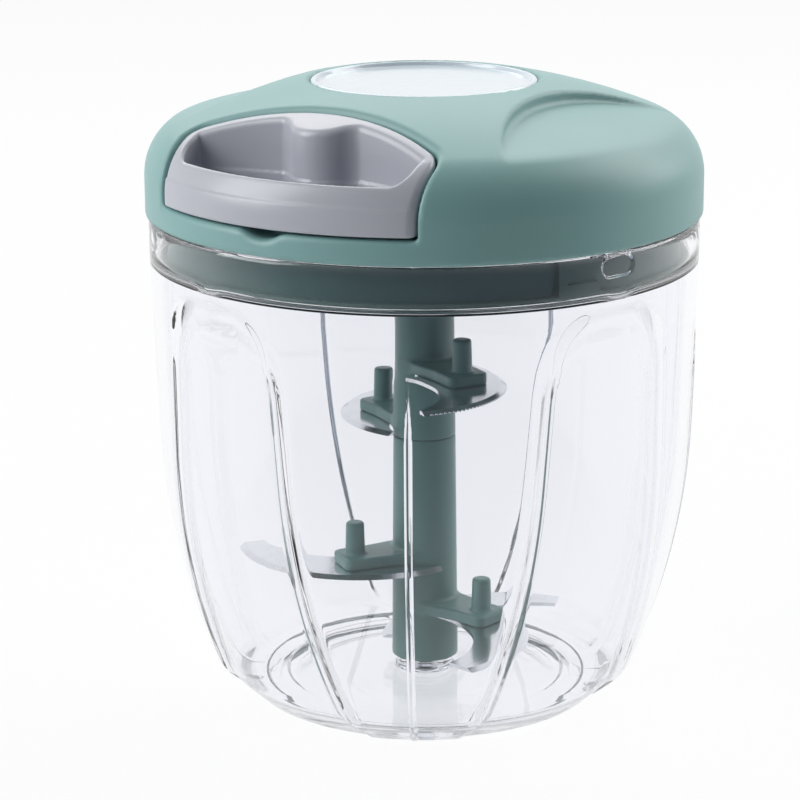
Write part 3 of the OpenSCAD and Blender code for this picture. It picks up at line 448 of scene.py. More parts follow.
def spun(name, profile, steps=160):
    """Object turned about Z from a half section that starts and ends on the axis."""
    profile = np.array(profile, float)
    angle = np.arange(steps) * 2 * np.pi / steps
    points = [(0, 0, profile[0][1]), (0, 0, profile[-1][1])]
    for r, z in profile[1:-1]:
        points += [(r * math.cos(a), r * math.sin(a), z) for a in angle]
    rings = len(profile) - 2
    last = 2 + (rings - 1) * steps
    faces = []
    for k in range(steps):
        n = (k + 1) % steps
        faces.append((0, 2 + n, 2 + k))
        faces.append((1, last + k, last + n))
        for ring in range(rings - 1):
            base = 2 + ring * steps
            faces.append((base + k, base + n, base + steps + n, base + steps + k))
    return new_mesh(name, points, faces)


def ring_quads(rings, n):
    """Quads between rings of n points each, listed ring after ring."""
    return [(k * n + i, k * n + (i + 1) % n, (k + 1) * n + (i + 1) % n, (k + 1) * n + i)
            for k in range(rings - 1) for i in range(n)]


def put(piece, node_names, body, material, sharp=None):
    """Gives a piece its finish and its place in the frame."""
    piece.data.materials.clear()
    piece.data.materials.append(material)
    if sharp is not None:
        piece.data.set_sharp_from_angle(angle=math.radians(sharp))
    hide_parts(*node_names)
    if body:
        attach(piece, body)


# Bowl

def wall_r(z):
    """Outer radius of the bowl's lands."""
    z = np.asarray(z, float)
    top_r = RIM_R - math.tan(DRAFT) * (STRAIGHT_TOP - CURVE_TOP)
    x, up = top_r - CURVE_R * math.cos(DRAFT), CURVE_TOP + CURVE_R * math.sin(DRAFT)
    arc = x + np.sqrt(CURVE_R ** 2 - (up - np.minimum(z, CURVE_TOP)) ** 2)
    cone = top_r + np.clip(z - CURVE_TOP, 0, STRAIGHT_TOP - CURVE_TOP) * math.tan(DRAFT)
    body = np.where(z < CURVE_TOP, arc, cone)
    foot_top = x + math.sqrt(CURVE_R ** 2 - (up - FOOT_H) ** 2)
    chamfer = FOOT_R + (foot_top - FOOT_R) * z / FOOT_H
    return np.minimum(body, chamfer) - soft(body - chamfer, FOOT_SOFT)


def soft(gap, k):
    """How far a rounded corner lies inside the sharp one, by the gap between its two sides."""
    t = np.clip(1 - np.abs(gap) / k, 0, 1)
    return k * t * t * 0.25


def panel_inside(y, z, grow, top):
    """Distance from a panel's outline, positive inside it."""
    y = np.abs(y)
    corner_z = top - PANEL_CORNER
    half = PANEL_HALF + grow + PANEL_FLARE / 2 * (corner_z - z) / (corner_z + 1)
    side = PANEL_HALF - PANEL_CORNER
    corner = PANEL_CORNER + grow - np.hypot(y - side, z - corner_z)
    return np.where((z > corner_z) & (y > side), corner, np.minimum(half - y, top + grow - z))


def scooped(deep, z, edge):
    """Depth of a panel's scoop; its edge is tight at the sides and spreads out under the rim."""
    wide = 1 + SPREAD * ease((z - SPREAD_Z) / SPREAD_H)
    return PANEL_DEPTH * ease((deep / edge + 0.5) / wide)


def panel_loop(offset, grow, top, low):
    """Points along a panel's outline, moved in by an offset, from the foot up and over."""
    corner_z = top - PANEL_CORNER
    side = PANEL_HALF - PANEL_CORNER
    move = grow - offset
    z = np.linspace(low, corner_z, int((corner_z - low) / ROW_H))
    half = [(PANEL_HALF + move + PANEL_FLARE / 2 * (corner_z - h) / (corner_z + 1), h) for h in z]
    reach = PANEL_CORNER + move
    half += [(side + reach * math.cos(a), corner_z + reach * math.sin(a))
             for a in np.linspace(0, math.pi / 2, CORNER_STEPS)[1:]]
    return half + [(-y, h) for y, h in reversed(half)]


def filled(ends, lines, inner):
    """Triangles over a flat patch from end points, lines that stay as edges, and inner points."""
    spots = [Vector(p) for p in ends]
    edges = []
    for line in lines:
        first = len(spots)
        spots += [Vector(p) for p in line]
        edges += [(first + k, first + k + 1) for k in range(len(line) - 1)]
    spots += [Vector(p) for p in inner]
    made = delaunay_2d_cdt(spots, edges, [], 0, 1e-5)
    return np.array([(v.x, v.y) for v in made[0]]), [tuple(f) for f in made[2]]


def wall_patch(radius_at, low, top, grow, panel_top, edge, ribbed):
    """One quarter of the bowl's wall, from land to land: angles, heights and triangles."""
    limit = SPAN * FLAT
    heights = np.linspace(low, top, int((top - low) / ROW_H) + 1)
    uniform = np.linspace(-limit, limit, SPAN_STEPS)

    def flat(y, z):
        return math.asin(y / float(radius_at(0.0, z))) * FLAT, z

    def clear_of_panel(u):
        """Whether a point of the foot lies away from where a panel's side meets it."""
        y = abs(math.sin(u / FLAT)) * float(radius_at(0.0, low))
        return abs(y - PANEL_HALF - PANEL_FLARE / 2) > edge

    lines = [[(-limit, z) for z in heights], [(limit, z) for z in heights]]
    for share in EDGE_LOOPS:
        lines.append([flat(y, z) for y, z in panel_loop(edge * share, grow, panel_top, low)])
    ends = [(u, z) for z in (low, top) for u in uniform]
    if ribbed:
        ends = [(u, z) for u, z in ends if z > low or clear_of_panel(u)]
        for off in RIB_LOOPS:
            for sign in (-1, 1):
                lines.append([(sign * (limit - math.asin(off / float(wall_r(z))) * FLAT), z)
                              for z in heights if z < RIB_H + RIB_OVER])
    margin = limit - (RIB_CLEAR if ribbed else LAND_CLEAR)
    rows = np.concatenate([np.arange(low + FOOT_ROW_H, FOOT_ROWS_TOP, FOOT_ROW_H),
                           np.arange(FOOT_ROWS_TOP, top - TOP_CLEAR, WALL_ROW_H)])
    inner = []
    for z in rows:
        for u in uniform[1:-1]:
            y = math.sin(u / FLAT) * float(radius_at(0.0, z))
            deep = float(panel_inside(y, z, grow, panel_top))
            outside = deep < edge * EDGE_LOOPS[0] - EDGE_CLEAR_OUT
            if (outside or deep > edge * EDGE_LOOPS[-1] + EDGE_CLEAR_IN) and abs(u) < margin:
                inner.append((u, z))
    points, faces = filled(ends, lines, inner)
    return points[:, 0] / FLAT, points[:, 1], faces


def placed(angle, r, z):
    """Points by their angle from the handle, radius and height."""
    return np.stack([r * np.sin(angle), -r * np.cos(angle), z + 0 * r], 1)


def in_sector(angle):
    """Angles counted from the middle of the panel that they fall in."""
    return (angle - PANEL_TURNS[0] + SPAN) % (2 * SPAN) - SPAN


class Shell:
    """Patches that are sewn into one closed mesh."""

    def __init__(self):
        self.points, self.faces = [], []

    def add(self, points, faces):
        start = sum(len(p) for p in self.points)
        self.points.append(np.asarray(points, float))
        self.faces.extend([tuple(start + k for k in f) for f in faces])

    def walls(self, radius, low, patch):
        """Sets one wall patch round the bowl four times; returns the angles along its foot."""
        a, z, triangles = patch
        for turn in PANEL_TURNS:
            self.add(placed(a + turn, radius(a, z), z), triangles)
        foot = np.sort(a[np.abs(z - low) < 1e-4])
        return np.concatenate([foot[:-1] + turn for turn in PANEL_TURNS])

    def strip(self, angles, rings):
        """Quads between rings that share one list of angles; a ring is its radii and height."""
        self.add(np.concatenate([placed(angles, r + 0 * angles, z + 0 * angles) for r, z in rings]),
                 ring_quads(len(rings), len(angles)))

    def disc(self, angles, r, z):
        """Triangles from a ring to its middle."""
        n = len(angles)
        ring = placed(angles, r + 0 * angles, z + 0 * angles)
        self.add(np.concatenate([ring, [[0, 0, z]]]), [(i, (i + 1) % n, n) for i in range(n)])

    def sewn(self, name):
        """The object; an edge that is left open is an error, because glass has to be closed."""
        made = new_mesh(name, np.concatenate(self.points), self.faces)
        build = bmesh.new()
        build.from_mesh(made.data)
        bmesh.ops.remove_doubles(build, verts=build.verts, dist=2e-6)
        bmesh.ops.recalc_face_normals(build, faces=build.faces)
        if any(not e.is_manifold for e in build.edges):
            raise RuntimeError(f"the mesh of {name} isn't closed")
        build.to_mesh(made.data)
        build.free()
        return made


def bowl_outside(look):
    """Outer radius by the angle from a panel's middle and the height: land, scoop and rib."""
    edge, rib_half, rib_proud = look.panel_edge / MM, look.rib_half / MM, look.rib_proud / MM

    def radius(a, z):
        y = np.sin(a) * wall_r(z)
        scoop = scooped(panel_inside(y, z, 0.0, PANEL_TOP), z, edge)
        off = np.sin(SPAN - np.abs(a)) * wall_r(z)
        point = np.clip((RIB_H - z) / RIB_POINT, 0, 1)
        across = off / (rib_half * np.maximum(point, 1e-3))
        rib = rib_proud * np.sqrt(point * np.clip(1 - across ** 2, 0, 1))
        return wall_r(z) - scoop + rib
    return radius


def bowl_inside(edge, panel_top):
    """Inner radius by the angle from a panel's middle and the height."""
    def radius(a, z):
        land = wall_r(z) - BOWL_WALL
        return land - scooped(panel_inside(np.sin(a) * land, z, INNER_GROW, panel_top), z, edge)
    return radius


def bowl_mesh(look):
    """The clear bowl: walls, stepped foot, rim with its lugs, ledge and floor with its boss."""
    edge = look.panel_edge / MM
    inner_edge = INNER_EDGE * edge
    inner_top = INNER_HIGH - INNER_GROW + EDGE_LOOPS[0] * inner_edge - PATCH_GAP
    outer, inner = bowl_outside(look), bowl_inside(inner_edge, inner_top)
    shell = Shell()
    patch = wall_patch(lambda a, z: wall_r(z), 0.0, STRAIGHT_TOP, 0.0, PANEL_TOP, edge, True)
    foot = shell.walls(outer, 0.0, patch)
    shell.strip(foot, [(outer(in_sector(foot), 0 * foot), 0.0)] + FOOT_RINGS)
    shell.disc(foot, *FOOT_RINGS[-1])

    around = np.concatenate([np.linspace(-SPAN, SPAN, SPAN_STEPS)[:-1] + c for c in PANEL_TURNS])
    shell.strip(around, RIM_RINGS)
    rim_a, rim_z, rim_faces = lug_patch(around)
    lug = LUG_REACH * ease(lug_inside(rim_a, rim_z) / LUG_EDGE + 0.5)
    shell.add(placed(rim_a, RIM_IN - lug, rim_z), rim_faces)
    wall = float(inner(0.0, INNER_HIGH))
    shell.strip(around, LEDGE_RINGS + [(wall - gap, z) for gap, z in LEDGE_FILLET])

    patch = wall_patch(inner, INNER_LOW, INNER_HIGH, INNER_GROW, inner_top, inner_edge, False)
    floor = shell.walls(inner, INNER_LOW, patch)
    skirting = inner(in_sector(floor), INNER_LOW + 0 * floor)
    bends = []
    for t in np.linspace(0, 1, 8):
        bends.append((skirting - 2 * t * (1 - t) * FLOOR_BEND_MID - t * t * FLOOR_BEND_IN,
                      INNER_LOW - (2 * t * (1 - t) + t * t) * FLOOR_BEND_DOWN))
    shell.strip(floor, bends + BOSS_RINGS)
    shell.disc(floor, *BOSS_RINGS[-1])
    return shell.sewn("clear_bowl")


def lug_inside(angle, z):
    """Distance from the nearest lug's outline, positive inside it."""
    turn = math.radians(360 / LUGS)
    off = (angle - math.radians(LUG_DEG) + turn / 2) % turn - turn / 2
    along = np.maximum(np.abs(off) * RIM_IN - (LUG_W - LUG_H) / 2, 0)
    return LUG_H / 2 - np.hypot(along, z - LUG_Z)


def lug_patch(around):
    """Inside of the rim, unrolled, with the outlines of its oval lugs."""
    start = float(around[0])
    half = (LUG_W - LUG_H) / 2
    arc = np.linspace(-math.pi / 2, math.pi / 2, 15)
    lines = []
    for k in range(LUGS):
        middle = (math.radians(LUG_DEG + 360 / LUGS * k) - start) % (2 * math.pi) * RIM_IN
        for offset in LUG_LOOPS:
            r = LUG_H / 2 - offset
            loop = [(middle + half + r * math.cos(a), LUG_Z + r * math.sin(a)) for a in arc]
            loop += [(middle - half - r * math.cos(a), LUG_Z - r * math.sin(a)) for a in arc]
            lines.append(loop + loop[:1])
    turns = np.append((around - start), 2 * math.pi) * RIM_IN
    levels = np.linspace(RIM_LOW, RIM_HIGH, 5)[1:-1]
    ends = [(u, z) for z in (RIM_LOW, RIM_HIGH) for u in turns]
    ends += [(u, z) for u in (turns[0], turns[-1]) for z in levels]
    inner = [(u, z) for u in turns[1:-1] for z in levels
             if lug_inside(u / RIM_IN + start, z) < -LUG_CLEAR]
    points, faces = filled(ends, lines, inner)
    return points[:, 0] / RIM_IN + start, points[:, 1], faces


# Inlay

def inlay_section():
    """Half section of the round inlay: a rolled rim, a steep little edge and a nearly flat dish."""
    top = DISC_EDGE_Z
    rim = [(DISC_R, top - 0.5), (24.32, top - 0.25), (24.1, top - 0.07), (23.8, top), (DISH_R, top)]
    dish = []
    for r in np.concatenate([np.linspace(23.3, 22.7, 10), np.linspace(21.5, 1.0, 14)]):
        sunk = 0.86 * float(ease((DISH_R - r) / DISH_STEP)) + 0.14 * (1 - (r / DISH_R) ** 2)
        dish.append((r, top - DISC_DISH * sunk))
    underside = [(0, DISC_Z), (23.9, DISC_Z), (DISC_R, DISC_Z + 0.5)]
    return underside + rim + dish + [(0, top - DISC_DISH)]


# Cord

def laid_cord(name, path, lay):
    """Stranded cord along a path in millimetres, its strands laid once round in each lay."""
    path = np.array(path, float)
    ahead = np.gradient(path, axis=0)
    ahead /= np.linalg.norm(ahead, axis=1)[:, None]
    side = np.cross(np.array([0, 0, 1.0]), ahead)
    side /= np.linalg.norm(side, axis=1)[:, None]
    up = np.cross(ahead, side)
    run = np.concatenate([[0], np.cumsum(np.linalg.norm(np.diff(path, axis=0), axis=1))])
    angle = np.arange(CORD_SIDES) * 2 * np.pi / CORD_SIDES
    lobe = CORD_D / 2 * (0.86 + 0.14 * np.abs(np.cos(angle * CORD_STRANDS / 2)) ** 0.7)
    points = []
    for k in range(len(path)):
        turn = angle + run[k] / lay * 2 * math.pi
        round_it = np.cos(turn)[:, None] * side[k] + np.sin(turn)[:, None] * up[k]
        points.append(path[k] + lobe[:, None] * round_it)
    last = (len(path) - 1) * CORD_SIDES
    faces = ring_quads(len(path), CORD_SIDES)
    faces += [tuple(range(CORD_SIDES - 1, -1, -1)), tuple(range(last, last + CORD_SIDES))]
    return new_mesh(name, np.concatenate(points), faces)


def cord_bend():
    """Where the cord turns into the eyelet, where and at what angle it leaves the drum, and the
    direction and length between the two."""
    bend = np.array([0, EYELET_BACK_Y + EYELET_FLANGE + BEND_GAP, CORD_Z])
    tangent = math.acos(WIND_R / -bend[1])
    leaves = np.array([-WIND_R * math.sin(tangent), -WIND_R * math.cos(tangent), CORD_Z])
    reach = np.linalg.norm(bend - leaves)
    return bend, leaves, tangent, (bend - leaves) / reach, reach


def winding_path():
    """Turns on the drum, and a short tail off it that turns with the reel."""
    _, leaves, tangent, ahead, _ = cord_bend()
    path = []
    for k in range(CORD_TURNS * TURN_STEPS + 1):
        a = math.radians(270) - tangent - 2 * math.pi * (CORD_TURNS - k / TURN_STEPS)
        z = CORD_Z - CORD_TURNS * CORD_STEP + CORD_STEP * k / TURN_STEPS
        path.append((WIND_R * math.cos(a), WIND_R * math.sin(a), z))
    return path + [leaves + ahead * t for t in np.linspace(0.3, CORD_TAIL, 28)]


def lead_path():
    """From the winding's tail round the bend at the eyelet and straight on to the knot."""
    bend, leaves, _, ahead, reach = cord_bend()
    out = np.array([0, -BEND_R, 0])
    path = [leaves + ahead * t for t in np.linspace(CORD_TAIL + 0.1, reach - BEND_R, 40)]
    path += [bend + (1 - t) ** 2 * -BEND_R * ahead + t * t * out for t in np.linspace(0, 1, 9)[1:]]
    path += [np.array([0, y, CORD_Z]) for y in np.linspace(bend[1] - BEND_R, KNOT_END_Y, 50)[1:]]
    return path


def knot_path():
    """Closed turns of the knot in the handle's boss."""
    return [(1.25 * math.cos(1.5 * t) * (1 + 0.35 * math.cos(t)), KNOT_Y + 1.15 * math.sin(1.5 * t),
             CORD_Z + 1.15 * math.sin(t)) for t in np.linspace(0, 4 * math.pi, 120)]


# Finishes

def node(tree, kind, **inputs):
    """A new node with values set on its sockets."""
    made = tree.nodes.new(kind)
    for name, value in inputs.items():
        made.inputs[name.replace("_", " ")].default_value = value
    return made


def fresh_material(name):
    """A new material, its node tree and its shader."""
    mat = bpy.data.materials.new(name)
    mat.use_nodes = True
    return mat, mat.node_tree, mat.node_tree.nodes["Principled BSDF"]


def object_noise(tree, scale, detail=2.0, rough=0.5, stretch=None):
    """Noise that stays with the object, drawn out along its axes where stretch is given."""
    where = tree.nodes.new("ShaderNodeTexCoord")
    noise = node(tree, "ShaderNodeTexNoise", Scale=scale, Detail=detail, Roughness=rough)
    out = where.outputs["Object"]
    if stretch:
        drawn = node(tree, "ShaderNodeMapping", Scale=stretch)
        tree.links.new(out, drawn.inputs["Vector"])
        out = drawn.outputs["Vector"]
    tree.links.new(out, noise.inputs["Vector"])
    return noise


def varied(tree, shader, colour, noise, spread):
    """A colour that wanders a little with the noise."""
    ramp = tree.nodes.new("ShaderNodeValToRGB")
    ends = zip(ramp.color_ramp.elements, (0.3, 0.7), (1 - spread, 1 + spread))
    for element, place, share in ends:
        element.position = place
        element.color = [c * share for c in colour] + [1]
    tree.links.new(noise.outputs["Fac"], ramp.inputs["Fac"])
    tree.links.new(ramp.outputs["Color"], shader.inputs["Base Color"])


def spread_roughness(tree, shader, noise, low, high):
    """Roughness that wanders with the noise."""
    reach = node(tree, "ShaderNodeMapRange", To_Min=low, To_Max=high)
    tree.links.new(noise.outputs["Fac"], reach.inputs["Value"])
    tree.links.new(reach.outputs["Result"], shader.inputs["Roughness"])


def bumped(tree, shader, noise, strength, depth):
    """Fine relief from the noise, its depth in metres."""
    bump = node(tree, "ShaderNodeBump", Strength=strength, Distance=depth)
    tree.links.new(noise.outputs["Fac"], bump.inputs["Height"])
    tree.links.new(bump.outputs["Normal"], shader.inputs["Normal"])


def mixed(tree, share, first, second):
    """Sends a mix of two shaders to the surface."""
    mix = tree.nodes.new("ShaderNodeMixShader")
    for socket, slot in zip((share, first, second), mix.inputs):
        tree.links.new(socket, slot)
    tree.links.new(mix.outputs["Shader"], tree.nodes["Material Output"].inputs["Surface"])


def moulded_plastic(name, colour, grain, rough, bump, coat=0.0):
    """Satin plastic with a fine eroded grain and faint flow marks."""
    mat, tree, shader = fresh_material(name)
    flow = object_noise(tree, 22.0, 3.0)
    fine = object_noise(tree, 1.0 / grain, 2.0, 0.6)
    varied(tree, shader, colour, flow, 0.03)
    spread_roughness(tree, shader, fine, rough - 0.05, rough + 0.07)
    bumped(tree, shader, fine, bump, 0.00003)
    shader.inputs["IOR"].default_value = 1.5
    shader.inputs["Coat Weight"].default_value = coat
    shader.inputs["Coat Roughness"].default_value = 0.2
    return mat


def clear_plastic(name, tint):
    """Clear moulded wall; lamps reach what stands inside it."""
    mat, tree, shader = fresh_material(name)
    shader.inputs["Base Color"].default_value = (*tint, 1)
    shader.inputs["Transmission Weight"].default_value = 1.0
    shader.inputs["IOR"].default_value = 1.49
    flow = object_noise(tree, 34.0, 1.0)
    spread_roughness(tree, shader, flow, 0.0, 0.02)
    bumped(tree, shader, flow, 0.05, 0.0004)
    path = tree.nodes.new("ShaderNodeLightPath")
    through = node(tree, "ShaderNodeBsdfTransparent", Color=(0.95, 0.955, 0.965, 1))
    mixed(tree, path.outputs["Is Shadow Ray"], shader.outputs["BSDF"], through.outputs["BSDF"])
    return mat


def polished_steel(name, colour, low=0.1, high=0.22):
    """Bright steel, brushed along one axis."""
    mat, tree, shader = fresh_material(name)
    shader.inputs["Metallic"].default_value = 1.0
    brush = object_noise(tree, 6.0, 3.0, 0.5, (260.0, 18.0, 260.0))
    varied(tree, shader, colour, brush, 0.04)
    spread_roughness(tree, shader, brush, low, high)
    bumped(tree, shader, brush, 0.06, 0.00002)
    return mat


def soft_rubber(name, colour):
    """Dull silicone with a fine skin."""
    mat, tree, shader = fresh_material(name)
    fine = object_noise(tree, 900.0, 2.0)
    varied(tree, shader, colour, fine, 0.05)
    spread_roughness(tree, shader, fine, 0.5, 0.7)
    bumped(tree, shader, fine, 0.1, 0.00005)
    return mat


def spun_yarn(name, colour):
    """Fine fibres with a soft sheen."""
    mat, tree, shader = fresh_material(name)
    fibre = object_noise(tree, 2600.0, 3.0, 0.7)
    varied(tree, shader, colour, fibre, 0.12)
    spread_roughness(tree, shader, fibre, 0.7, 0.95)
    bumped(tree, shader, fibre, 0.5, 0.0001)
    shader.inputs["Sheen Weight"].default_value = 0.3
    return mat


def dress(names, material, degrees=30):
    """Finishes carried-over solids, smooth but for their hard corners."""
    for name in names:
        data = NODES[name].data
        data.materials.clear()
        data.materials.append(material)
        data.polygons.foreach_set("use_smooth", [True] * len(data.polygons))
        data.set_sharp_from_angle(angle=math.radians(degrees))


# Stage

def set_camera(look):
    """The picture's camera, from its fitted distance, height, tilt, pan and roll."""
    pan, roll, tilt = -0.0085, -0.0042, look.tilt
    level, down = math.cos(tilt), math.sin(tilt)
    right = Vector((math.cos(pan), -math.sin(pan), 0))
    ahead = Vector((math.sin(pan) * level, math.cos(pan) * level, -down))
    up = Vector((math.sin(pan) * down, math.cos(pan) * down, level))
    x_axis = right * math.cos(roll) + up * math.sin(roll)
    y_axis = up * math.cos(roll) - right * math.sin(roll)
    pose = Matrix.Identity(4)
    for row in range(3):
        pose[row][0], pose[row][1], pose[row][2] = x_axis[row], y_axis[row], -ahead[row]
    pose[1][3], pose[2][3] = -look.distance, look.height
    data = bpy.data.cameras.new("picture_camera")
    data.sensor_width = 36.0
    data.lens = look.lens
    data.clip_start, data.clip_end = 0.01, 50.0
    cam = bpy.data.objects.new("picture_camera", data)
    bpy.context.scene.collection.objects.link(cam)
    cam.matrix_world = Matrix.Rotation(look.azimuth, 4, "Z") @ pose
    bpy.context.scene.camera = cam


def combined(tree, kind, first, second):
    """A maths node on two sockets, or on a socket and a number."""
    made = tree.nodes.new("ShaderNodeMath")
    made.operation = kind
    for slot, value in zip(made.inputs, (first, second)):
        if isinstance(value, (int, float)):
            slot.default_value = value
        else:
            tree.links.new(value, slot)
    return made.outputs[0]


def seen_share(tree, straight, through, mirrored):
    """How much of the white backdrop a ray shows: from the camera, through glass or in a mirror."""
    path = tree.nodes.new("ShaderNodeLightPath")
    camera = combined(tree, "MULTIPLY", path.outputs["Is Camera Ray"], straight)
    glass = combined(tree, "MULTIPLY", path.outputs["Is Transmission Ray"], through)
    gloss = combined(tree, "MULTIPLY", path.outputs["Is Glossy Ray"], mirrored)
    return combined(tree, "MAXIMUM", combined(tree, "MAXIMUM", camera, glass), gloss)


def turned_away(tree, direction, rise):
    """How far a direction points away from the picture's side."""
    away = tree.nodes.new("ShaderNodeVectorMath")
    away.operation = "DOT_PRODUCT"
    away.inputs[1].default_value = (-math.sin(PICTURE_SIDE), math.cos(PICTURE_SIDE), rise)
    tree.links.new(direction, away.inputs[0])
    return away.outputs["Value"]


def ranged(tree, value, low, high):
    """A share from 0 to 1 between two values."""
    reach = node(tree, "ShaderNodeMapRange", From_Min=low, From_Max=high)
    tree.links.new(value, reach.inputs["Value"])
    return reach.outputs["Result"]


def shaded_front(tree, reach):
    """White, but a bluish grey on the picture's side for mirrored and bounced light."""
    shade = tree.nodes.new("ShaderNodeValToRGB")
    shade.color_ramp.elements[0].color = (0.22, 0.26, 0.31, 1)
    shade.color_ramp.elements[1].color = (1, 1, 1, 1)
    path = tree.nodes.new("ShaderNodeLightPath")
    bounces = combined(tree, "ADD", path.outputs["Glossy Depth"], path.outputs["Diffuse Depth"])
    straight = seen_share(tree, 1.0, combined(tree, "LESS_THAN", bounces, 0.5), 0.0)
    tree.links.new(combined(tree, "MAXIMUM", reach, straight), shade.inputs["Fac"])
    return shade.outputs["Color"]


def set_world():
    """White room; the picture's side of it is darker in mirrors and as a light."""
    world = bpy.data.worlds.new("white_room")
    bpy.context.scene.world = world
    world.use_nodes = True
    tree = world.node_tree
    back = tree.nodes["Background"]
    where = tree.nodes.new("ShaderNodeTexCoord")
    fill = 0.20
    reach = ranged(tree, turned_away(tree, where.outputs["Generated"], 0.35), -0.5, 0.4)
    tree.links.new(shaded_front(tree, reach), back.inputs["Color"])
    strength = combined(tree, "MAXIMUM", seen_share(tree, 1.0, 1.0, 1.0), fill)
    tree.links.new(strength, back.inputs["Strength"])


def set_floor():
    """Plain white floor that keeps a little of the object's shadow."""
    far, below, glowing = 6.0, 0.0002, 0.92
    mesh = bpy.data.meshes.new("floor")
    corners = [(-far, -far, 0), (far, -far, 0), (far, far, 0), (-far, far, 0)]
    mesh.from_pydata(corners, [], [(0, 1, 2, 3)])
    floor = bpy.data.objects.new("floor", mesh)
    bpy.context.scene.collection.objects.link(floor)
    floor.location.z = -below
    mat, tree, shader = fresh_material("white_floor")
    shader.inputs["Base Color"].default_value = (0.80, 0.80, 0.81, 1)
    shader.inputs["Roughness"].default_value = 0.8
    glow = tree.nodes.new("ShaderNodeEmission")
    spot = tree.nodes.new("ShaderNodeNewGeometry")
    reach = ranged(tree, turned_away(tree, spot.outputs["Position"], 0.0), -0.3, 0.03)
    tree.links.new(shaded_front(tree, reach), glow.inputs["Color"])
    tree.links.new(seen_share(tree, 1.0, 1.0, 1.0), glow.inputs["Strength"])
    share = seen_share(tree, glowing, glowing, glowing)
    mixed(tree, share, shader.outputs["BSDF"], glow.outputs["Emission"])
    mesh.materials.append(mat)


def softbox(name, azimuth, elevation, distance, size, watts):
    """Area lamp at an angle counted from the picture's side, turned to the object's middle."""
    lamp = bpy.data.lights.new(name, "AREA")
    lamp.shape = "RECTANGLE"
    lamp.size, lamp.size_y = size
    lamp.energy = watts
    turn, rise = math.radians(azimuth) + PICTURE_SIDE, math.radians(elevation)
    level = math.cos(rise)
    place = Vector((math.sin(turn) * level, -math.cos(turn) * level, math.sin(rise))) * distance
    middle = Vector((0, 0, 0.07))
    box = bpy.data.objects.new(name, lamp)
    bpy.context.scene.collection.objects.link(box)
    box.location = place + middle
    box.visible_transmission = False
    box.rotation_mode = "QUATERNION"
    box.rotation_quaternion = (-place).to_track_quat("-Z", "Y")


def set_lamps():
    """A softbox on each side and a wide one behind."""
    softbox("left_box", azimuth=-77, elevation=29, distance=1.1, size=(0.6, 0.9), watts=9.2)
    softbox("right_box", azimuth=110, elevation=32, distance=1.1, size=(0.6, 0.9), watts=7.2)
    softbox("back_box", azimuth=178, elevation=46, distance=1.2, size=(1.7, 0.7), watts=8.4)


def set_bounces(scene):
    """Light passes many clear walls, and runs along inside them, before it leaves the bowl."""
    scene.cycles.max_bounces = 32
    scene.cycles.transmission_bounces = 24
    scene.cycles.glossy_bounces = 24


# Operators

class CHOPPER_OT_stage(bpy.types.Operator):
    """Set the floor, the lamps and the camera."""
    bl_idname = "chopper.stage"
    bl_label = "Stage"

    def execute(self, context):
        set_camera(context.scene.chopper_stage)
        set_world()
        set_floor()
        set_lamps()
        set_bounces(context.scene)
        context.scene.view_settings.view_transform = "Standard"
        return {"FINISHED"}


class CHOPPER_OT_bowl(bpy.types.Operator):
    """Mould the clear bowl, and finish its spindle pin and its seal."""
    bl_idname = "chopper.bowl"
    bl_label = "Bowl"

    def execute(self, context):
        look = context.scene.chopper_bowl
        clear = clear_plastic("clear_wall", look.tint)
        put(bowl_mesh(look), ["bowl"], "bowl", clear, 48)
        dress(["spindle_pin"], clear)
        dress(["seal_ring"], soft_rubber("seal_silicone", (0.07, 0.13, 0.12)))
        return {"FINISHED"}


class CHOPPER_OT_lid(bpy.types.Operator):
    """Mould the lid and its inlay, and finish the plate below it."""
    bl_idname = "chopper.lid"
    bl_label = "Lid"

    def execute(self, context):
        look = context.scene.chopper_lid
        sage = moulded_plastic("sage_satin", look.sage, look.grain, rough=0.42, bump=0.45)
        lid = skinned("soft_lid", lid_field(look), (-61.5, -61.5, LID_Z - 1.2),
                      (61.5, 61.5, LID_TOP + 0.8), look.fineness / MM)
        put(lid, ["lid_shell"], "lid", sage)
        ice = moulded_plastic("ice_gloss", look.ice, 0.002, rough=0.14, bump=0.02, coat=0.6)
        put(spun("top_inlay", inlay_section()), ["top_disc"], "lid", ice, 40)
        # The plate takes the hubs' colour at 0.66: partly a darker plastic of its own, partly
        # painted shade where the lid's overhang shadows it.
        shade = [0.66 * c for c in context.scene.chopper_blades.deep]
        plate = moulded_plastic("plate_satin", shade, look.grain, rough=0.40, bump=0.15)
        dress(["base_plate"], plate)
        return {"FINISHED"}


class CHOPPER_OT_handle(bpy.types.Operator):
    """Mould the pull handle."""
    bl_idname = "chopper.handle"
    bl_label = "Handle"

    def execute(self, context):
        look = context.scene.chopper_handle
        lilac = moulded_plastic("lilac_gloss", look.lilac, 0.0011, rough=0.32, bump=0.08, coat=0.15)
        handle = skinned("soft_handle", handle_field(look), (-32.8, -61.2, HANDLE_Z - 1.0),
                         (32.8, -33.4, 136.0), look.fineness / MM)
        put(handle, ["pull_handle"], "handle", lilac)
        return {"FINISHED"}


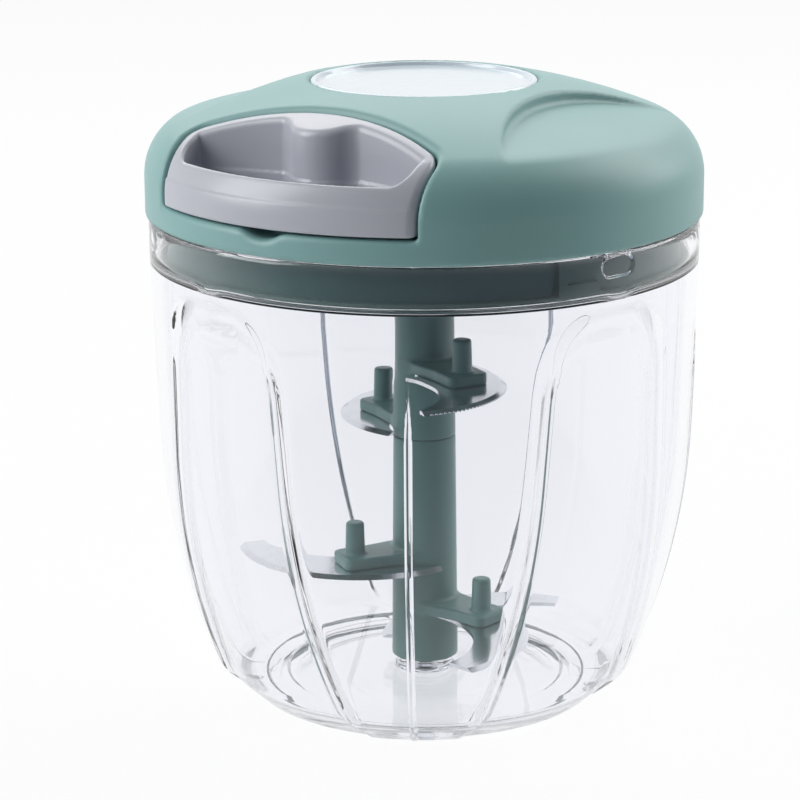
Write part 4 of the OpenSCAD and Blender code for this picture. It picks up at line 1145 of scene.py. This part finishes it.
class CHOPPER_OT_blades(bpy.types.Operator):
    """Mould the hubs and finish the blades."""
    bl_idname = "chopper.blades"
    bl_label = "Blade set"

    def execute(self, context):
        look = context.scene.chopper_blades
        cell = look.fineness / MM
        deep = moulded_plastic("hub_satin", look.deep, 0.0009, rough=0.30, bump=0.10)
        low = skinned("soft_lower_hub", hub_field(LOWER_ARMS, HUB_Z, HUB_SPLIT),
                      (-22, -22, HUB_Z - 1.6), (22, 22, HUB_SPLIT + 9.5), cell)
        put(low, ["lower_hub"], "rotor", deep)
        high = skinned("soft_upper_hub", hub_field(UPPER_ARMS, HUB_SPLIT, HUB_TOP),
                       (-22, -22, HUB_SPLIT - 1.6), (22, 22, HUB_TOP + 1.2), cell)
        put(high, ["upper_hub"], "rotor", deep)
        dress(["upper_blade_front", "upper_blade_rear", "lower_blade_high", "lower_blade_mid",
               "lower_blade_low"], polished_steel("blade_steel", look.steel), 20)
        return {"FINISHED"}


class CHOPPER_OT_reel(bpy.types.Operator):
    """Finish the reel, its spring and its fasteners, and lay the cord."""
    bl_idname = "chopper.reel"
    bl_label = "Reel and cord"

    def execute(self, context):
        look = context.scene.chopper_cord
        lay = look.lay / MM
        nylon = moulded_plastic("natural_nylon", (0.72, 0.70, 0.64), 0.0015, rough=0.45, bump=0.05)
        dress(["drive_bush", "spring_case", "spool"], nylon)
        bright = polished_steel("bright_steel", (0.58, 0.58, 0.60), 0.18, 0.34)
        dress(["plate_screws", "case_screws", "thrust_washer", "return_spring", "axle_pin",
               "cord_eyelet", "drive_shaft"], bright, 25)
        yarn = spun_yarn("cord_yarn", look.cord)
        wound = laid_cord("wound_cord", winding_path(), lay)
        put(wound, ["cord_winding"], "reel", yarn)
        lead = laid_cord("cord_run", lead_path(), lay)
        put(lead, ["cord_lead"], None, yarn)
        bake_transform(lead)
        put(laid_cord("tied_knot", knot_path(), lay), ["cord_knot"], "handle", yarn)
        return {"FINISHED"}


class CHOPPER_PT_pieces(bpy.types.Panel):
    """Lists the chopper's pieces."""
    bl_idname = "CHOPPER_PT_pieces"
    bl_label = "Chopper"
    bl_space_type = "VIEW_3D"
    bl_region_type = "UI"
    bl_category = "Chopper"

    def draw(self, context):
        for operator in OPERATORS:
            self.layout.operator(operator.bl_idname)


LOOKS = {"chopper_stage": StageLook, "chopper_bowl": BowlLook, "chopper_lid": LidLook,
         "chopper_handle": HandleLook, "chopper_blades": BladeLook, "chopper_cord": CordLook}
OPERATORS = (CHOPPER_OT_stage, CHOPPER_OT_bowl, CHOPPER_OT_lid, CHOPPER_OT_handle,
             CHOPPER_OT_blades, CHOPPER_OT_reel)


def register():
    for name, look in LOOKS.items():
        bpy.utils.register_class(look)
        setattr(bpy.types.Scene, name, bpy.props.PointerProperty(type=look))
    for made in (*OPERATORS, CHOPPER_PT_pieces):
        bpy.utils.register_class(made)


def unregister():
    for made in (CHOPPER_PT_pieces, *reversed(OPERATORS)):
        bpy.utils.unregister_class(made)
    for name, look in LOOKS.items():
        delattr(bpy.types.Scene, name)
        bpy.utils.unregister_class(look)


def main():
    register()
    bpy.ops.chopper.stage()
    bpy.ops.chopper.bowl()
    bpy.ops.chopper.lid()
    bpy.ops.chopper.handle()
    bpy.ops.chopper.blades()
    bpy.ops.chopper.reel()


if __name__ == "__main__":
    main()
